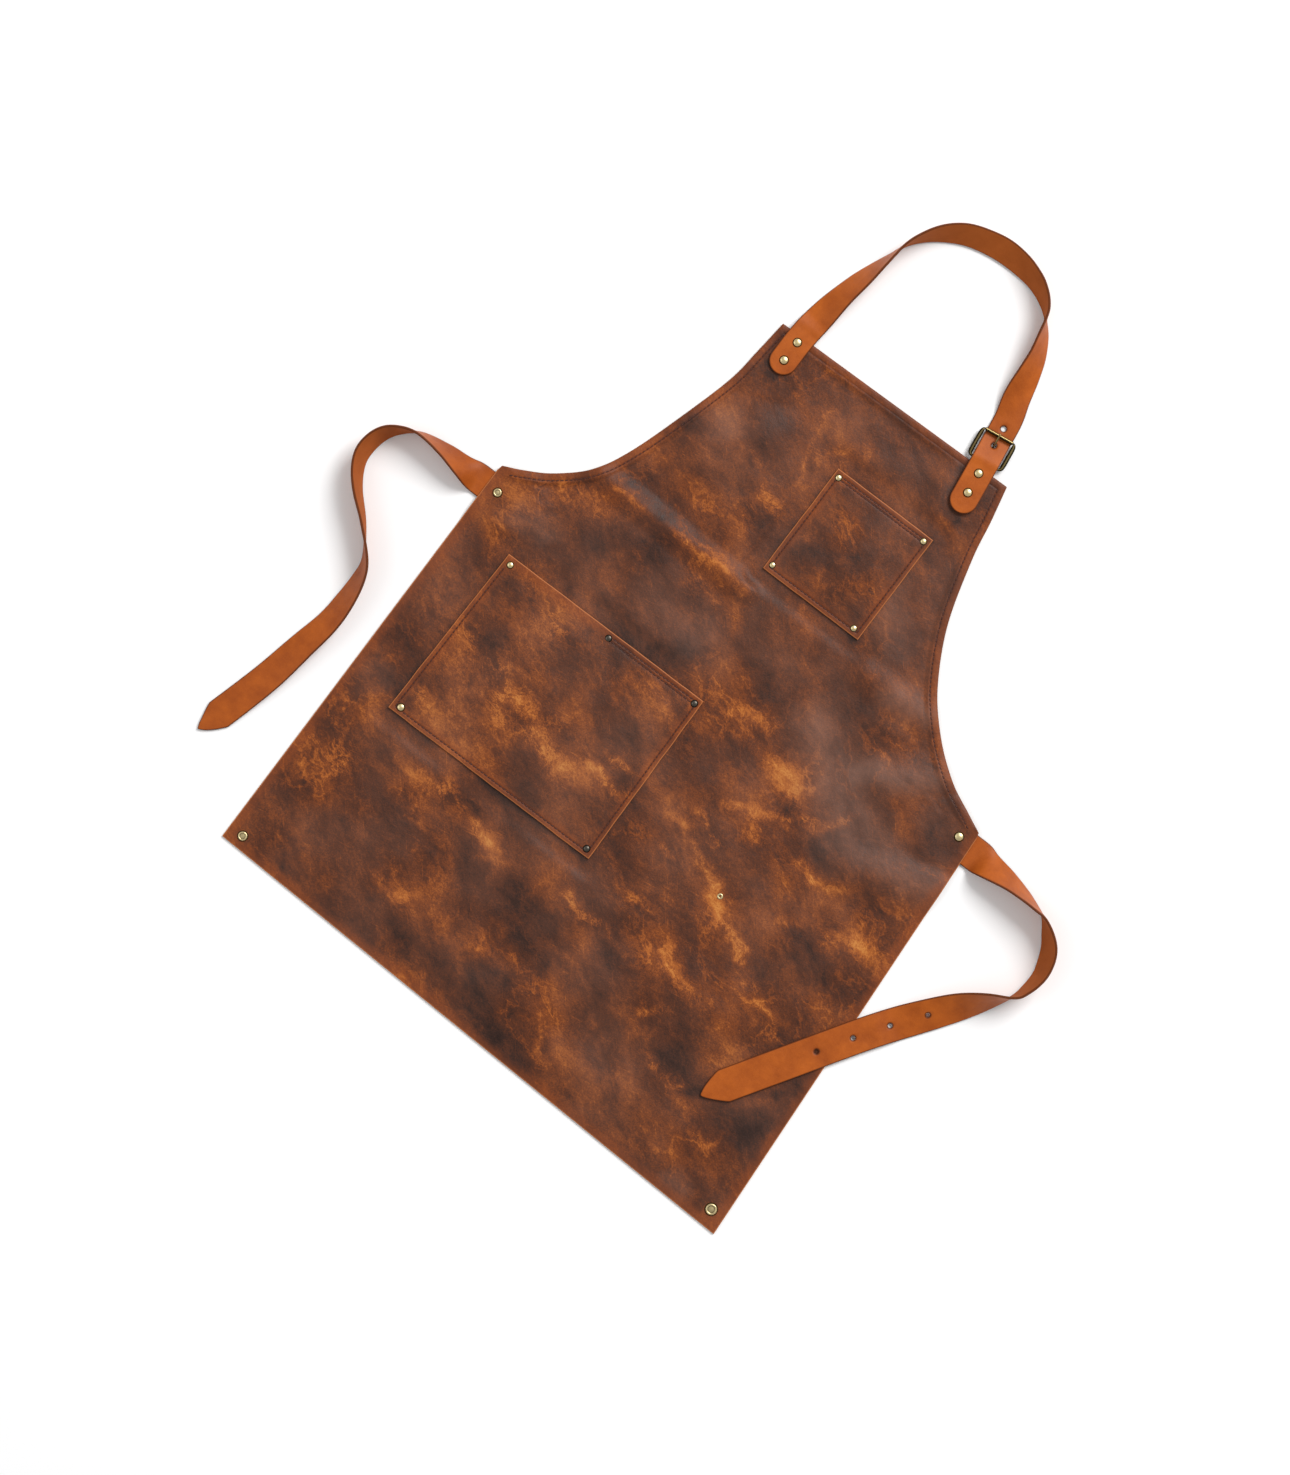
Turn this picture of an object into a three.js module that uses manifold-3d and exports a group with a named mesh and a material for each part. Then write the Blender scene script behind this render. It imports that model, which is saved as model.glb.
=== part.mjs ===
// Leather work apron, laid flat with its straps as they fall.
// Millimetres. X runs across the apron, Y up towards the bib, Z up from the surface that it lies on.
// The origin is under the middle of the waist line, on the apron's underside.

import * as THREE from 'three';
import { mergeVertices } from 'three/addons/utils/BufferGeometryUtils.js';
import Module from 'manifold-3d';

const wasm = await Module();
wasm.setup();

// Hide thicknesses and the clearance between pieces
const HIDE = 2.0;
const STRAP_HIDE = 2.7;
const CHAPE_HIDE = 1.6;
const GAP = 0.3;

// The cut of the apron, from the middle of the waist line
const BIB_LEFT = 163;
const BIB_RIGHT = 114;
const BIB_RISE_LEFT = 286;
const BIB_RISE_RIGHT = 291;
const WAIST_LEFT = 302;
const WAIST_RIGHT = 302;
const WAIST_TILT = 2.3;
const HEM_LEFT = 300;
const HEM_RIGHT = 332;
const HEM_DROP_LEFT = 461;
const HEM_DROP_RIGHT = 481;
const TURN = 9;
const TURN_EASE = 4;
const TURN_START = 3;

// Folds in the hide
const FOLD_HEIGHT = 6;
const FOLD_SPREAD = 20;

// Pockets
const SMALL_POCKET_WIDTH = 119;
const SMALL_POCKET_HEIGHT = 125;
const SMALL_POCKET_X = 28;
const SMALL_POCKET_Y = 79;
const LARGE_POCKET_MOUTH = 244;
const LARGE_POCKET_FOOT = 251;
const LARGE_POCKET_HEIGHT = 195;
const LARGE_POCKET_X = -120;
const LARGE_POCKET_Y = -258;
const POCKET_BELLY = 2;
const POCKET_CALM = 12;

// Straps
const NECK_WIDTH = 29;
const NECK_LOOP_RISE = 188;
const NECK_TAB = 37;
const NECK_TAB_INSET_LEFT = 23;
const NECK_TAB_INSET_RIGHT = 31;
const NECK_RIVET_INSET = 7;
const NECK_RIVET_PITCH = 22;
const NECK_TIP_RADIUS = 14;
const NECK_HOLE = 5.6;
const NECK_HOLE_PITCH = 19.5;
const TIE_LEFT_WIDTH = 31;
const TIE_LEFT_REACH = 131;
const TIE_LEFT_DROP = 369;
const TIE_RIGHT_WIDTH = 34;
const TIE_RIGHT_REACH = 147;
const TIE_RIGHT_DROP = 362;
const TIE_POINT = 25;
const TIE_HOLE = 4.8;
const TIE_HOLE_PITCH = 39;
const TIE_HOLE_START = 124;
const TIE_HOLE_COUNT = 4;
const PAD_MARGIN = 8;
const PAD_FALL = 24;
const TIE_SLOPE = 0.12;
const BUCKLED_SLOPE = 0.38;

// Buckle
const BUCKLE_LEAN = 7.8;
const BUCKLE_HINGE = 13;
const BUCKLE_LENGTH = 30;
const BUCKLE_WIDTH = 41;
const BUCKLE_WIRE = 2.5;
const BUCKLE_ARM = 3;
const BUCKLE_CHAMFER = 0.6;
const BUCKLE_BAR = 1.5;
const BUCKLE_Z = 5.2;
const ROLLER_LENGTH = 31;
const ROLLER_DIAMETER = 3.8;
const ROLLER_BORE = 3.1;
const PRONG_WIRE = 2;
const PRONG_RING = 2.3;
const PRONG_RING_WIRE = 1.4;
const CHAPE_WIDTH = 25;

// Rivets and eyelet
const POST = 3;
const BACK_CAP = 7;
const BACK_CAP_THICK = 0.7;
const CAP_RIM = 0.6;
const CAP_CROWN = 0.18;
const EYELET_X = 133;
const EYELET_Y = -208;
const EYELET_CAP = 5.9;
const EYELET_BORE = 1.8;

// Fineness of the meshes
const SIDES = 10;
const BODY_COLUMNS = 27;
const BIB_ROWS = 20;
const SKIRT_ROWS = 13;
const SKIRT_ROW_EASE = 1.8;
const STRAP_STEP = 10;
const LEG_STEP = 5;
const TIP_STEPS = 4;

// How the armholes run in from the waist's corners to the bib's corners.
// up is a share of the bib's rise, left and right are shares of each side's step inwards.
const ARMHOLES = [
  { up: 0, left: 0, right: 0 },
  { up: 0.035, left: 0.15, right: 0.115 },
  { up: 0.09, left: 0.335, right: 0.288 },
  { up: 0.185, left: 0.541, right: 0.475 },
  { up: 0.31, left: 0.676, right: 0.645 },
  { up: 0.5, left: 0.807, right: 0.805 },
  { up: 0.73, left: 0.939, right: 0.913 },
  { up: 0.87, left: 0.974, right: 0.955 },
  { up: 1, left: 1, right: 1 },
];

// Folds as ridges from one point to another: x as shares of the waist's half width, y of the bib's rise,
// height and spread as shares of the fold sizes.
const FOLDS = [
  { x0: -0.72, y0: 0.19, x1: -0.1, y1: 0.18, height: 0.8, spread: 0.5 },
  { x0: 0.38, y0: 0.19, x1: 0.62, y1: 0.2, height: 0.7, spread: 0.6 },
  { x0: 0.63, y0: -0.07, x1: 0.78, y1: 0.05, height: 0.9, spread: 0.8 },
  { x0: 0.73, y0: -0.375, x1: 0.99, y1: -0.25, height: 1, spread: 0.9 },
  { x0: -0.5, y0: 0.48, x1: -0.39, y1: 0.63, height: 0.8, spread: 1.3 },
  { x0: 0.3, y0: -1.2, x1: 0.62, y1: -1.05, height: 0.6, spread: 1.6 },
];

// The neck strap from its left tab over the loop to its right leg.
// across is a share of the way between the two tabs, up of the loop's rise, lean turns the strap's
// inner edge up, in degrees.
const NECK_ROUTE = [
  { across: 0.004, up: 0.03, lean: 0 },
  { across: 0.014, up: 0.13, lean: 14 },
  { across: 0.033, up: 0.28, lean: 37 },
  { across: 0.063, up: 0.436, lean: 53 },
  { across: 0.1, up: 0.606, lean: 78 },
  { across: 0.127, up: 0.718, lean: 91 },
  { across: 0.175, up: 0.81, lean: 105 },
  { across: 0.235, up: 0.885, lean: 120 },
  { across: 0.31, up: 0.945, lean: 131 },
  { across: 0.395, up: 0.98, lean: 136 },
  { across: 0.488, up: 1, lean: 140 },
  { across: 0.58, up: 0.997, lean: 134 },
  { across: 0.668, up: 0.976, lean: 122 },
  { across: 0.726, up: 0.947, lean: 113 },
  { across: 0.773, up: 0.91, lean: 104 },
  { across: 0.811, up: 0.863, lean: 92 },
  { across: 0.853, up: 0.775, lean: 69 },
  { across: 0.89, up: 0.667, lean: 52 },
  { across: 0.912, up: 0.553, lean: 35 },
  { across: 0.932, up: 0.424, lean: 14 },
];

// The left tie from its rivet: out is a share of its reach, down of its drop.
const TIE_LEFT_ROUTE = [
  { out: -0.11, down: 0, lean: 0 },
  { out: 0, down: 0, lean: 0 },
  { out: 0.17, down: 0, lean: 0 },
  { out: 0.31, down: 0, lean: 38 },
  { out: 0.51, down: -0.005, lean: 62 },
  { out: 0.735, down: 0, lean: 83 },
  { out: 0.88, down: 0.027, lean: 100 },
  { out: 0.966, down: 0.064, lean: 111 },
  { out: 1, down: 0.116, lean: 115 },
  { out: 0.973, down: 0.164, lean: 110 },
  { out: 0.867, down: 0.219, lean: 103 },
  { out: 0.673, down: 0.284, lean: 94 },
  { out: 0.498, down: 0.357, lean: 78 },
  { out: 0.444, down: 0.41, lean: 62 },
  { out: 0.424, down: 0.484, lean: 48 },
  { out: 0.431, down: 0.559, lean: 39 },
  { out: 0.48, down: 0.65, lean: 28 },
  { out: 0.552, down: 0.78, lean: 12 },
  { out: 0.678, down: 0.943, lean: 0 },
  { out: 0.733, down: 1, lean: 0 },
];

// The right tie from its rivet, round and back over the apron's edge.
const TIE_RIGHT_ROUTE = [
  { out: -0.12, down: 0.012, lean: 0 },
  { out: 0, down: 0.012, lean: 0 },
  { out: 0.17, down: 0.012, lean: 0 },
  { out: 0.28, down: 0.014, lean: 34 },
  { out: 0.44, down: 0.014, lean: 56 },
  { out: 0.59, down: 0.02, lean: 70 },
  { out: 0.706, down: 0.029, lean: 81 },
  { out: 0.787, down: 0.038, lean: 90 },
  { out: 0.874, down: 0.067, lean: 104 },
  { out: 0.94, down: 0.097, lean: 111 },
  { out: 0.98, down: 0.133, lean: 112 },
  { out: 1, down: 0.174, lean: 107 },
  { out: 0.985, down: 0.222, lean: 100 },
  { out: 0.948, down: 0.261, lean: 90 },
  { out: 0.816, down: 0.319, lean: 57 },
  { out: 0.688, down: 0.378, lean: 32 },
  { out: 0.558, down: 0.446, lean: 16 },
  { out: 0.422, down: 0.52, lean: 3 },
  { out: 0.28, down: 0.603, lean: 0 },
  { out: 0.018, down: 0.77, lean: 0 },
  { out: -0.25, down: 0.941, lean: 0 },
  { out: -0.337, down: 1, lean: 0 },
];

// Pocket rivets: across and up are shares of the pocket's width and height.
const SMALL_POCKET_RIVETS = [
  { name: 'rivet_small_pocket_top_left', across: 0.05, up: 0.94, cap: 5.6 },
  { name: 'rivet_small_pocket_top_right', across: 0.94, up: 0.945, cap: 5.6 },
  { name: 'rivet_small_pocket_bottom_left', across: 0.05, up: 0.065, cap: 5.2 },
  { name: 'rivet_small_pocket_bottom_right', across: 0.915, up: 0.055, cap: 5.6 },
];
const LARGE_POCKET_RIVETS = [
  { name: 'rivet_large_pocket_top_left', across: 0.033, up: 0.958, cap: 5.8, black: false },
  { name: 'rivet_large_pocket_bottom_left', across: 0.04, up: 0.039, cap: 7, black: false },
  { name: 'rivet_large_pocket_top_middle', across: 0.534, up: 0.963, cap: 6, black: true },
  { name: 'rivet_large_pocket_top_right', across: 0.975, up: 0.963, cap: 6, black: true },
  { name: 'rivet_large_pocket_bottom_right', across: 0.97, up: 0.037, cap: 6, black: true },
];

// Corner rivets of the skirt: in from the side and up or down from the corner.
const CORNER_RIVETS = {
  waistLeft: { name: 'rivet_waist_left', inX: 14, inY: 23.5, cap: 8.5, ringed: true },
  waistRight: { name: 'rivet_waist_right', inX: 15, inY: 14, cap: 8.7, ringed: false },
  hemLeft: { name: 'rivet_hem_left', inX: 16.5, inY: 12.5, cap: 9.6, ringed: true },
  hemRight: { name: 'rivet_hem_right', inX: 17, inY: 18.5, cap: 12, ringed: true },
};
const NECK_CAP = 8;

// Finishes
const apronLeather = new THREE.MeshStandardMaterial({ color: '#6a3a22', roughness: 0.62, metalness: 0 });
const strapLeather = new THREE.MeshStandardMaterial({ color: '#b0571c', roughness: 0.55, metalness: 0 });
const brass = new THREE.MeshStandardMaterial({ color: '#b79b5e', roughness: 0.35, metalness: 1 });
const blackenedBrass = new THREE.MeshStandardMaterial({ color: '#2e2620', roughness: 0.5, metalness: 0.8 });
const buckleBrass = new THREE.MeshStandardMaterial({ color: '#8a7a48', roughness: 0.35, metalness: 1 });

const { lerp, clamp, degToRad, smoothstep } = THREE.MathUtils;
const flat = (x, y) => new THREE.Vector2(x, y);

// Corners of the cut
const bibLeft = flat(-BIB_LEFT, BIB_RISE_LEFT);
const bibRight = flat(BIB_RIGHT, BIB_RISE_RIGHT);
const waistLeft = flat(-WAIST_LEFT, WAIST_TILT);
const waistRight = flat(WAIST_RIGHT, -WAIST_TILT);
const hemLeft = flat(-HEM_LEFT, -HEM_DROP_LEFT);
const hemRight = flat(HEM_RIGHT, -HEM_DROP_RIGHT);

const armholeLeft = new THREE.SplineCurve(
  ARMHOLES.map((s) => flat(lerp(waistLeft.x, bibLeft.x, s.left), lerp(waistLeft.y, bibLeft.y, s.up))),
);
const armholeRight = new THREE.SplineCurve(
  ARMHOLES.map((s) => flat(lerp(waistRight.x, bibRight.x, s.right), lerp(waistRight.y, bibRight.y, s.up))),
);
const bibEdge = [...armholeLeft.getPoints(BIB_ROWS * 2), ...armholeRight.getPoints(BIB_ROWS * 2).reverse()];
const outline = [...bibEdge, hemRight, hemLeft];
// The turned edge runs out just before the waist's corners
const turnedEdge = bibEdge.slice(TURN_START, -TURN_START);

// Places that other pieces share
const neckLeft = flat(bibLeft.x + NECK_TAB_INSET_LEFT, bibLeft.y - NECK_RIVET_INSET);
const neckRight = flat(bibRight.x - NECK_TAB_INSET_RIGHT, bibRight.y - NECK_RIVET_INSET);
const legUp = flat(-Math.sin(degToRad(BUCKLE_LEAN)), Math.cos(degToRad(BUCKLE_LEAN)));
const legRight = flat(legUp.y, -legUp.x);
const waistRivetLeft = flat(waistLeft.x + CORNER_RIVETS.waistLeft.inX, waistLeft.y - CORNER_RIVETS.waistLeft.inY);
const waistRivetRight = flat(waistRight.x - CORNER_RIVETS.waistRight.inX, waistRight.y - CORNER_RIVETS.waistRight.inY);

// Point on the right leg of the neck strap: along from its upper rivet, aside to the right.
function onLeg(along, aside) {
  return neckRight.clone().addScaledVector(legUp, along).addScaledVector(legRight, aside);
}

function distanceToSegment(point, start, end) {
  const run = end.clone().sub(start);
  const share = clamp(point.clone().sub(start).dot(run) / run.lengthSq(), 0, 1);
  return point.distanceTo(start.clone().addScaledVector(run, share));
}

function distanceToLine(point, line) {
  let nearest = Infinity;
  for (let i = 1; i < line.length; i++) {
    nearest = Math.min(nearest, distanceToSegment(point, line[i - 1], line[i]));
  }
  return nearest;
}

function insideOutline(point) {
  let inside = false;
  for (let i = 0; i < outline.length; i++) {
    const a = outline[i];
    const b = outline[(i + 1) % outline.length];
    const crosses = a.y > point.y !== b.y > point.y;
    if (crosses && point.x < a.x + ((point.y - a.y) / (b.y - a.y)) * (b.x - a.x)) inside = !inside;
  }
  return inside;
}

// The apron is twice as thick where its armhole and bib edges are turned under.
function hideThickness(point) {
  const edge = distanceToLine(point, turnedEdge);
  return HIDE + HIDE * (1 - smoothstep(edge, TURN, TURN + TURN_EASE));
}

// Each pocket by its mouth and foot widths, its height and the middle of its foot
const SMALL_POCKET = {
  mouth: SMALL_POCKET_WIDTH,
  foot: SMALL_POCKET_WIDTH,
  height: SMALL_POCKET_HEIGHT,
  x: SMALL_POCKET_X,
  y: SMALL_POCKET_Y,
};
const LARGE_POCKET = {
  mouth: LARGE_POCKET_MOUTH,
  foot: LARGE_POCKET_FOOT,
  height: LARGE_POCKET_HEIGHT,
  x: LARGE_POCKET_X,
  y: LARGE_POCKET_Y,
};
const POCKETS = [SMALL_POCKET, LARGE_POCKET];

// Straps that lie under or are riveted on the hide lift it. Each pad has a middle line, a half width
// and either its own height or the height that its top levels to.
const PADS = [
  {
    start: flat(neckLeft.x, neckLeft.y - NECK_TAB),
    end: flat(neckLeft.x, neckLeft.y),
    half: NECK_WIDTH / 2,
    level: HIDE * 2,
  },
  { start: onLeg(-NECK_TAB - NECK_RIVET_INSET, 0), end: onLeg(0, 0), half: NECK_WIDTH / 2, level: HIDE * 2 },
  {
    start: tiePoint(TIE_LEFT_ROUTE[0], waistRivetLeft, -TIE_LEFT_REACH, TIE_LEFT_DROP),
    end: tiePoint(TIE_LEFT_ROUTE[2], waistRivetLeft, -TIE_LEFT_REACH, TIE_LEFT_DROP),
    half: TIE_LEFT_WIDTH / 2,
    height: STRAP_HIDE + GAP,
  },
  {
    start: tiePoint(TIE_RIGHT_ROUTE[0], waistRivetRight, TIE_RIGHT_REACH, TIE_RIGHT_DROP),
    end: tiePoint(TIE_RIGHT_ROUTE[2], waistRivetRight, TIE_RIGHT_REACH, TIE_RIGHT_DROP),
    half: TIE_RIGHT_WIDTH / 2,
    height: STRAP_HIDE + GAP,
  },
];

// A pocket's two layers hold the hide flat round them.
function calmByPockets(point) {
  const away = POCKETS.map(({ foot, height, x, y }) => {
    const dx = Math.max(Math.abs(point.x - x) - foot / 2, 0);
    const dy = Math.max(Math.abs(point.y - y - height / 2) - height / 2, 0);
    return Math.hypot(dx, dy);
  });
  return smoothstep(Math.min(...away), POCKET_CALM, POCKET_CALM * 2);
}

function hideLift(point) {
  let lift = 0;
  for (const pad of PADS) {
    const away = distanceToSegment(point, pad.start, pad.end) - pad.half - PAD_MARGIN;
    const height = pad.height ?? Math.max(0, pad.level - hideThickness(point));
    lift = Math.max(lift, height * (1 - smoothstep(away, 0, PAD_FALL)));
  }
  for (const fold of FOLDS) {
    const start = flat(fold.x0 * WAIST_RIGHT, fold.y0 * BIB_RISE_RIGHT);
    const end = flat(fold.x1 * WAIST_RIGHT, fold.y1 * BIB_RISE_RIGHT);
    const away = distanceToSegment(point, start, end) / (fold.spread * FOLD_SPREAD * 2);
    lift = Math.max(lift, fold.height * FOLD_HEIGHT * (1 - smoothstep(away, 0, 1)));
  }
  return lift * calmByPockets(point);
}

const hideTop = (point) => hideLift(point) + hideThickness(point);

// A closed block of columns and rows, whose every corner is moved by place(column, row, side).
function shapedBlock(columns, rows, place) {
  const geometry = new THREE.BoxGeometry(1, 1, 1, columns, rows, 1);
  geometry.deleteAttribute('normal');
  geometry.deleteAttribute('uv');
  const position = geometry.attributes.position;
  for (let i = 0; i < position.count; i++) {
    const column = Math.round((position.getX(i) + 0.5) * columns);
    const row = Math.round((position.getY(i) + 0.5) * rows);
    const spot = place(column, row, position.getZ(i) > 0 ? 1 : 0);
    position.setXYZ(i, spot.x, spot.y, spot.z);
  }
  return mergeVertices(geometry, 1e-4);
}

// Solids for cutting and joining
function solid(geometry) {
  const clean = geometry.clone();
  clean.deleteAttribute('normal');
  clean.deleteAttribute('uv');
  const merged = mergeVertices(clean, 1e-4);
  const vertProperties = Float32Array.from(merged.attributes.position.array);
  const triVerts = Uint32Array.from(merged.index.array);
  return new wasm.Manifold(new wasm.Mesh({ numProp: 3, vertProperties, triVerts }));
}

function faceted(body) {
  const mesh = body.getMesh();
  const geometry = new THREE.BufferGeometry();
  geometry.setAttribute('position', new THREE.BufferAttribute(mesh.vertProperties, 3));
  geometry.setIndex(new THREE.BufferAttribute(mesh.triVerts, 1));
  geometry.computeVertexNormals();
  return geometry;
}

function rod(x, y, bottom, top, diameter) {
  const geometry = new THREE.CylinderGeometry(diameter / 2, diameter / 2, top - bottom, SIDES);
  geometry.rotateX(Math.PI / 2);
  geometry.translate(x, y, (bottom + top) / 2);
  return geometry;
}

function cut(geometry, tools) {
  return faceted(tools.reduce((body, tool) => body.subtract(solid(tool)), solid(geometry)));
}

const group = new THREE.Group();

function addPiece(name, geometry, material) {
  const mesh = new THREE.Mesh(geometry, material);
  mesh.name = name;
  group.add(mesh);
  return mesh;
}

// Rivets: a back cap flush under the stack, a post through it, and a domed or ringed cap on top
function rivetProfile(length, cap, ringed) {
  const rise = cap * CAP_CROWN;
  const half = cap / 2;
  const foot = [flat(0, 0), flat(BACK_CAP / 2, 0), flat(BACK_CAP / 2, BACK_CAP_THICK)];
  const post = [flat(POST / 2, BACK_CAP_THICK), flat(POST / 2, length + GAP), flat(half, length + GAP)];
  const rim = [flat(half, length + GAP + CAP_RIM), flat(half * 0.65, length + GAP + rise)];
  const dome = [flat(0, length + GAP + rise * 1.2)];
  const ring = [flat(half * 0.4, length + GAP + CAP_RIM), flat(0, length + GAP + CAP_RIM)];
  return [...foot, ...post, ...rim, ...(ringed ? ring : dome)];
}

function addRivet(name, at, bottom, top, cap, ringed, material) {
  const geometry = new THREE.LatheGeometry(rivetProfile(top - bottom, cap, ringed), SIDES);
  geometry.rotateX(Math.PI / 2);
  const rivet = addPiece(name, geometry, material);
  rivet.position.set(at.x, at.y, bottom);
}

// What a rivet needs punched: a hole through everything and a seat for its back cap in the lowest hide
const postHole = (at) => rod(at.x, at.y, -2, 40, POST + GAP * 2);
const capSeat = (at, bottom) => rod(at.x, at.y, bottom - 1.5, bottom + BACK_CAP_THICK + GAP, BACK_CAP + GAP * 2);

// Pockets
const pocketSeat = HIDE + GAP;

function pocketGeometry({ mouth, foot, height, x, y }) {
  const columns = 8;
  const rows = 6;
  return shapedBlock(columns, rows, (column, row, side) => {
    const across = column / columns;
    const up = row / rows;
    const belly = POCKET_BELLY * Math.sin(Math.PI * across) * Math.sin(Math.PI * up);
    const width = lerp(foot, mouth, up);
    return new THREE.Vector3(x + (across - 0.5) * width, y + up * height, pocketSeat + belly + side * HIDE);
  });
}

function pocketSpot(rivet, { mouth, foot, height, x, y }) {
  return flat(x + (rivet.across - 0.5) * lerp(foot, mouth, rivet.up), y + rivet.up * height);
}

const smallSpots = SMALL_POCKET_RIVETS.map((rivet) => pocketSpot(rivet, SMALL_POCKET));
const largeSpots = LARGE_POCKET_RIVETS.map((rivet) => pocketSpot(rivet, LARGE_POCKET));
const pocketTop = pocketSeat + HIDE;

addPiece('pocket_small', cut(pocketGeometry(SMALL_POCKET), smallSpots.map(postHole)), apronLeather);
addPiece('pocket_large', cut(pocketGeometry(LARGE_POCKET), largeSpots.map(postHole)), apronLeather);
SMALL_POCKET_RIVETS.forEach((rivet, i) => {
  addRivet(rivet.name, smallSpots[i], 0, pocketTop, rivet.cap, false, brass);
});
LARGE_POCKET_RIVETS.forEach((rivet, i) => {
  addRivet(rivet.name, largeSpots[i], 0, pocketTop, rivet.cap, false, rivet.black ? blackenedBrass : brass);
});

// Apron body: rows run from the hem over the waist to the bib's top edge, columns from left to right.
// Two columns and two rows follow the turned edge.
function bodyRow(row) {
  if (row <= SKIRT_ROWS) {
    const drop = (1 - row / SKIRT_ROWS) ** SKIRT_ROW_EASE;
    return { left: waistLeft.clone().lerp(hemLeft, drop), right: waistRight.clone().lerp(hemRight, drop), rise: 0 };
  }
  const lastStation = ARMHOLES[ARMHOLES.length - 2].up;
  const perMillimetre = 1 / ((ARMHOLES.length - 1) * (1 - lastStation) * BIB_RISE_RIGHT);
  const step = row - SKIRT_ROWS;
  const even = BIB_ROWS - 2;
  const fromTop = [TURN + TURN_EASE, TURN, 0][Math.max(step - even, 0)];
  const rise = Math.min(step / even, 1) * (1 - fromTop * perMillimetre);
  return { left: armholeLeft.getPoint(rise), right: armholeRight.getPoint(rise), rise };
}

// How far in along its row the turned edge reaches at each side
function rowInset(curve, rise, distance) {
  const tangent = curve.getTangent(Math.max(rise, 0.01));
  return distance / Math.max(Math.abs(tangent.y), 0.35);
}

function bodyPoint(column, row) {
  const { left, right, rise } = bodyRow(row);
  const width = right.x - left.x;
  const edges = [0, TURN, TURN + TURN_EASE];
  const first = edges.length - 1;
  const last = BODY_COLUMNS - first;
  if (column < first) {
    return left.clone().lerp(right, rowInset(armholeLeft, rise, edges[column]) / width);
  }
  if (column > last) {
    return right.clone().lerp(left, rowInset(armholeRight, rise, edges[BODY_COLUMNS - column]) / width);
  }
  const from = rowInset(armholeLeft, rise, edges[first]) / width;
  const to = 1 - rowInset(armholeRight, rise, edges[first]) / width;
  return left.clone().lerp(right, lerp(from, to, (column - first) / (last - first)));
}

const bodyBlock = shapedBlock(BODY_COLUMNS, SKIRT_ROWS + BIB_ROWS, (column, row, side) => {
  const point = bodyPoint(column, row);
  const lift = hideLift(point);
  return new THREE.Vector3(point.x, point.y, lift + side * hideThickness(point));
});

const hemSpotLeft = flat(hemLeft.x + CORNER_RIVETS.hemLeft.inX, hemLeft.y + CORNER_RIVETS.hemLeft.inY);
const hemSpotRight = flat(hemRight.x - CORNER_RIVETS.hemRight.inX, hemRight.y + CORNER_RIVETS.hemRight.inY);
const neckSpots = [
  { name: 'rivet_neck_left_top', at: neckLeft },
  { name: 'rivet_neck_left_bottom', at: flat(neckLeft.x, neckLeft.y - NECK_RIVET_PITCH) },
  { name: 'rivet_neck_right_top', at: onLeg(0, 0) },
  { name: 'rivet_neck_right_bottom', at: onLeg(-NECK_RIVET_PITCH, 0) },
];
const eyeletSpot = flat(EYELET_X, EYELET_Y);
const floorSpots = [...smallSpots, ...largeSpots, hemSpotLeft, hemSpotRight, eyeletSpot];
const bodyCuts = [
  ...floorSpots.flatMap((at) => [postHole(at), capSeat(at, 0)]),
  ...neckSpots.flatMap(({ at }) => [postHole(at), capSeat(at, hideLift(at))]),
  postHole(waistRivetLeft),
  postHole(waistRivetRight),
];
addPiece('apron_body', cut(bodyBlock, bodyCuts), apronLeather);

const { waistLeft: leftWaist, waistRight: rightWaist, hemLeft: leftHem, hemRight: rightHem } = CORNER_RIVETS;
addRivet(leftHem.name, hemSpotLeft, 0, HIDE, leftHem.cap, leftHem.ringed, brass);
addRivet(rightHem.name, hemSpotRight, 0, HIDE, rightHem.cap, rightHem.ringed, brass);
addRivet(leftWaist.name, waistRivetLeft, 0, hideTop(waistRivetLeft), leftWaist.cap, leftWaist.ringed, brass);
addRivet(rightWaist.name, waistRivetRight, 0, hideTop(waistRivetRight), rightWaist.cap, rightWaist.ringed, brass);

// Eyelet: a tube through the hide with a rolled rim on top and a flange beneath
function eyeletGeometry() {
  const bore = EYELET_BORE / 2;
  const barrel = POST / 2;
  const rim = EYELET_CAP / 2;
  const top = HIDE + GAP;
  const points = [
    flat(bore, 0),
    flat(rim, 0),
    flat(rim, BACK_CAP_THICK),
    flat(barrel, BACK_CAP_THICK),
    flat(barrel, top),
    flat(rim, top),
    flat(rim * 0.85, top + CAP_RIM),
    flat(bore * 1.5, top + CAP_RIM),
    flat(bore, top),
    flat(bore, 0),
  ];
  const geometry = new THREE.LatheGeometry(points, SIDES);
  geometry.rotateX(Math.PI / 2);
  return geometry;
}

addPiece('eyelet', eyeletGeometry(), brass).position.set(eyeletSpot.x, eyeletSpot.y, 0);

// Straps. A strap is a band along a route: its middle line in plan, its lean, and how high it lies.
function tiePoint(station, rivet, reach, drop) {
  return flat(rivet.x + station.out * reach, rivet.y - station.down * drop);
}

// Height of what lies under a spot: the hide, if the spot is over it or within a step of its edge
function groundUnder(point) {
  const near = insideOutline(point) || distanceToLine(point, [...outline, outline[0]]) < STRAP_STEP;
  return near ? hideTop(point) + GAP : 0;
}

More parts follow.
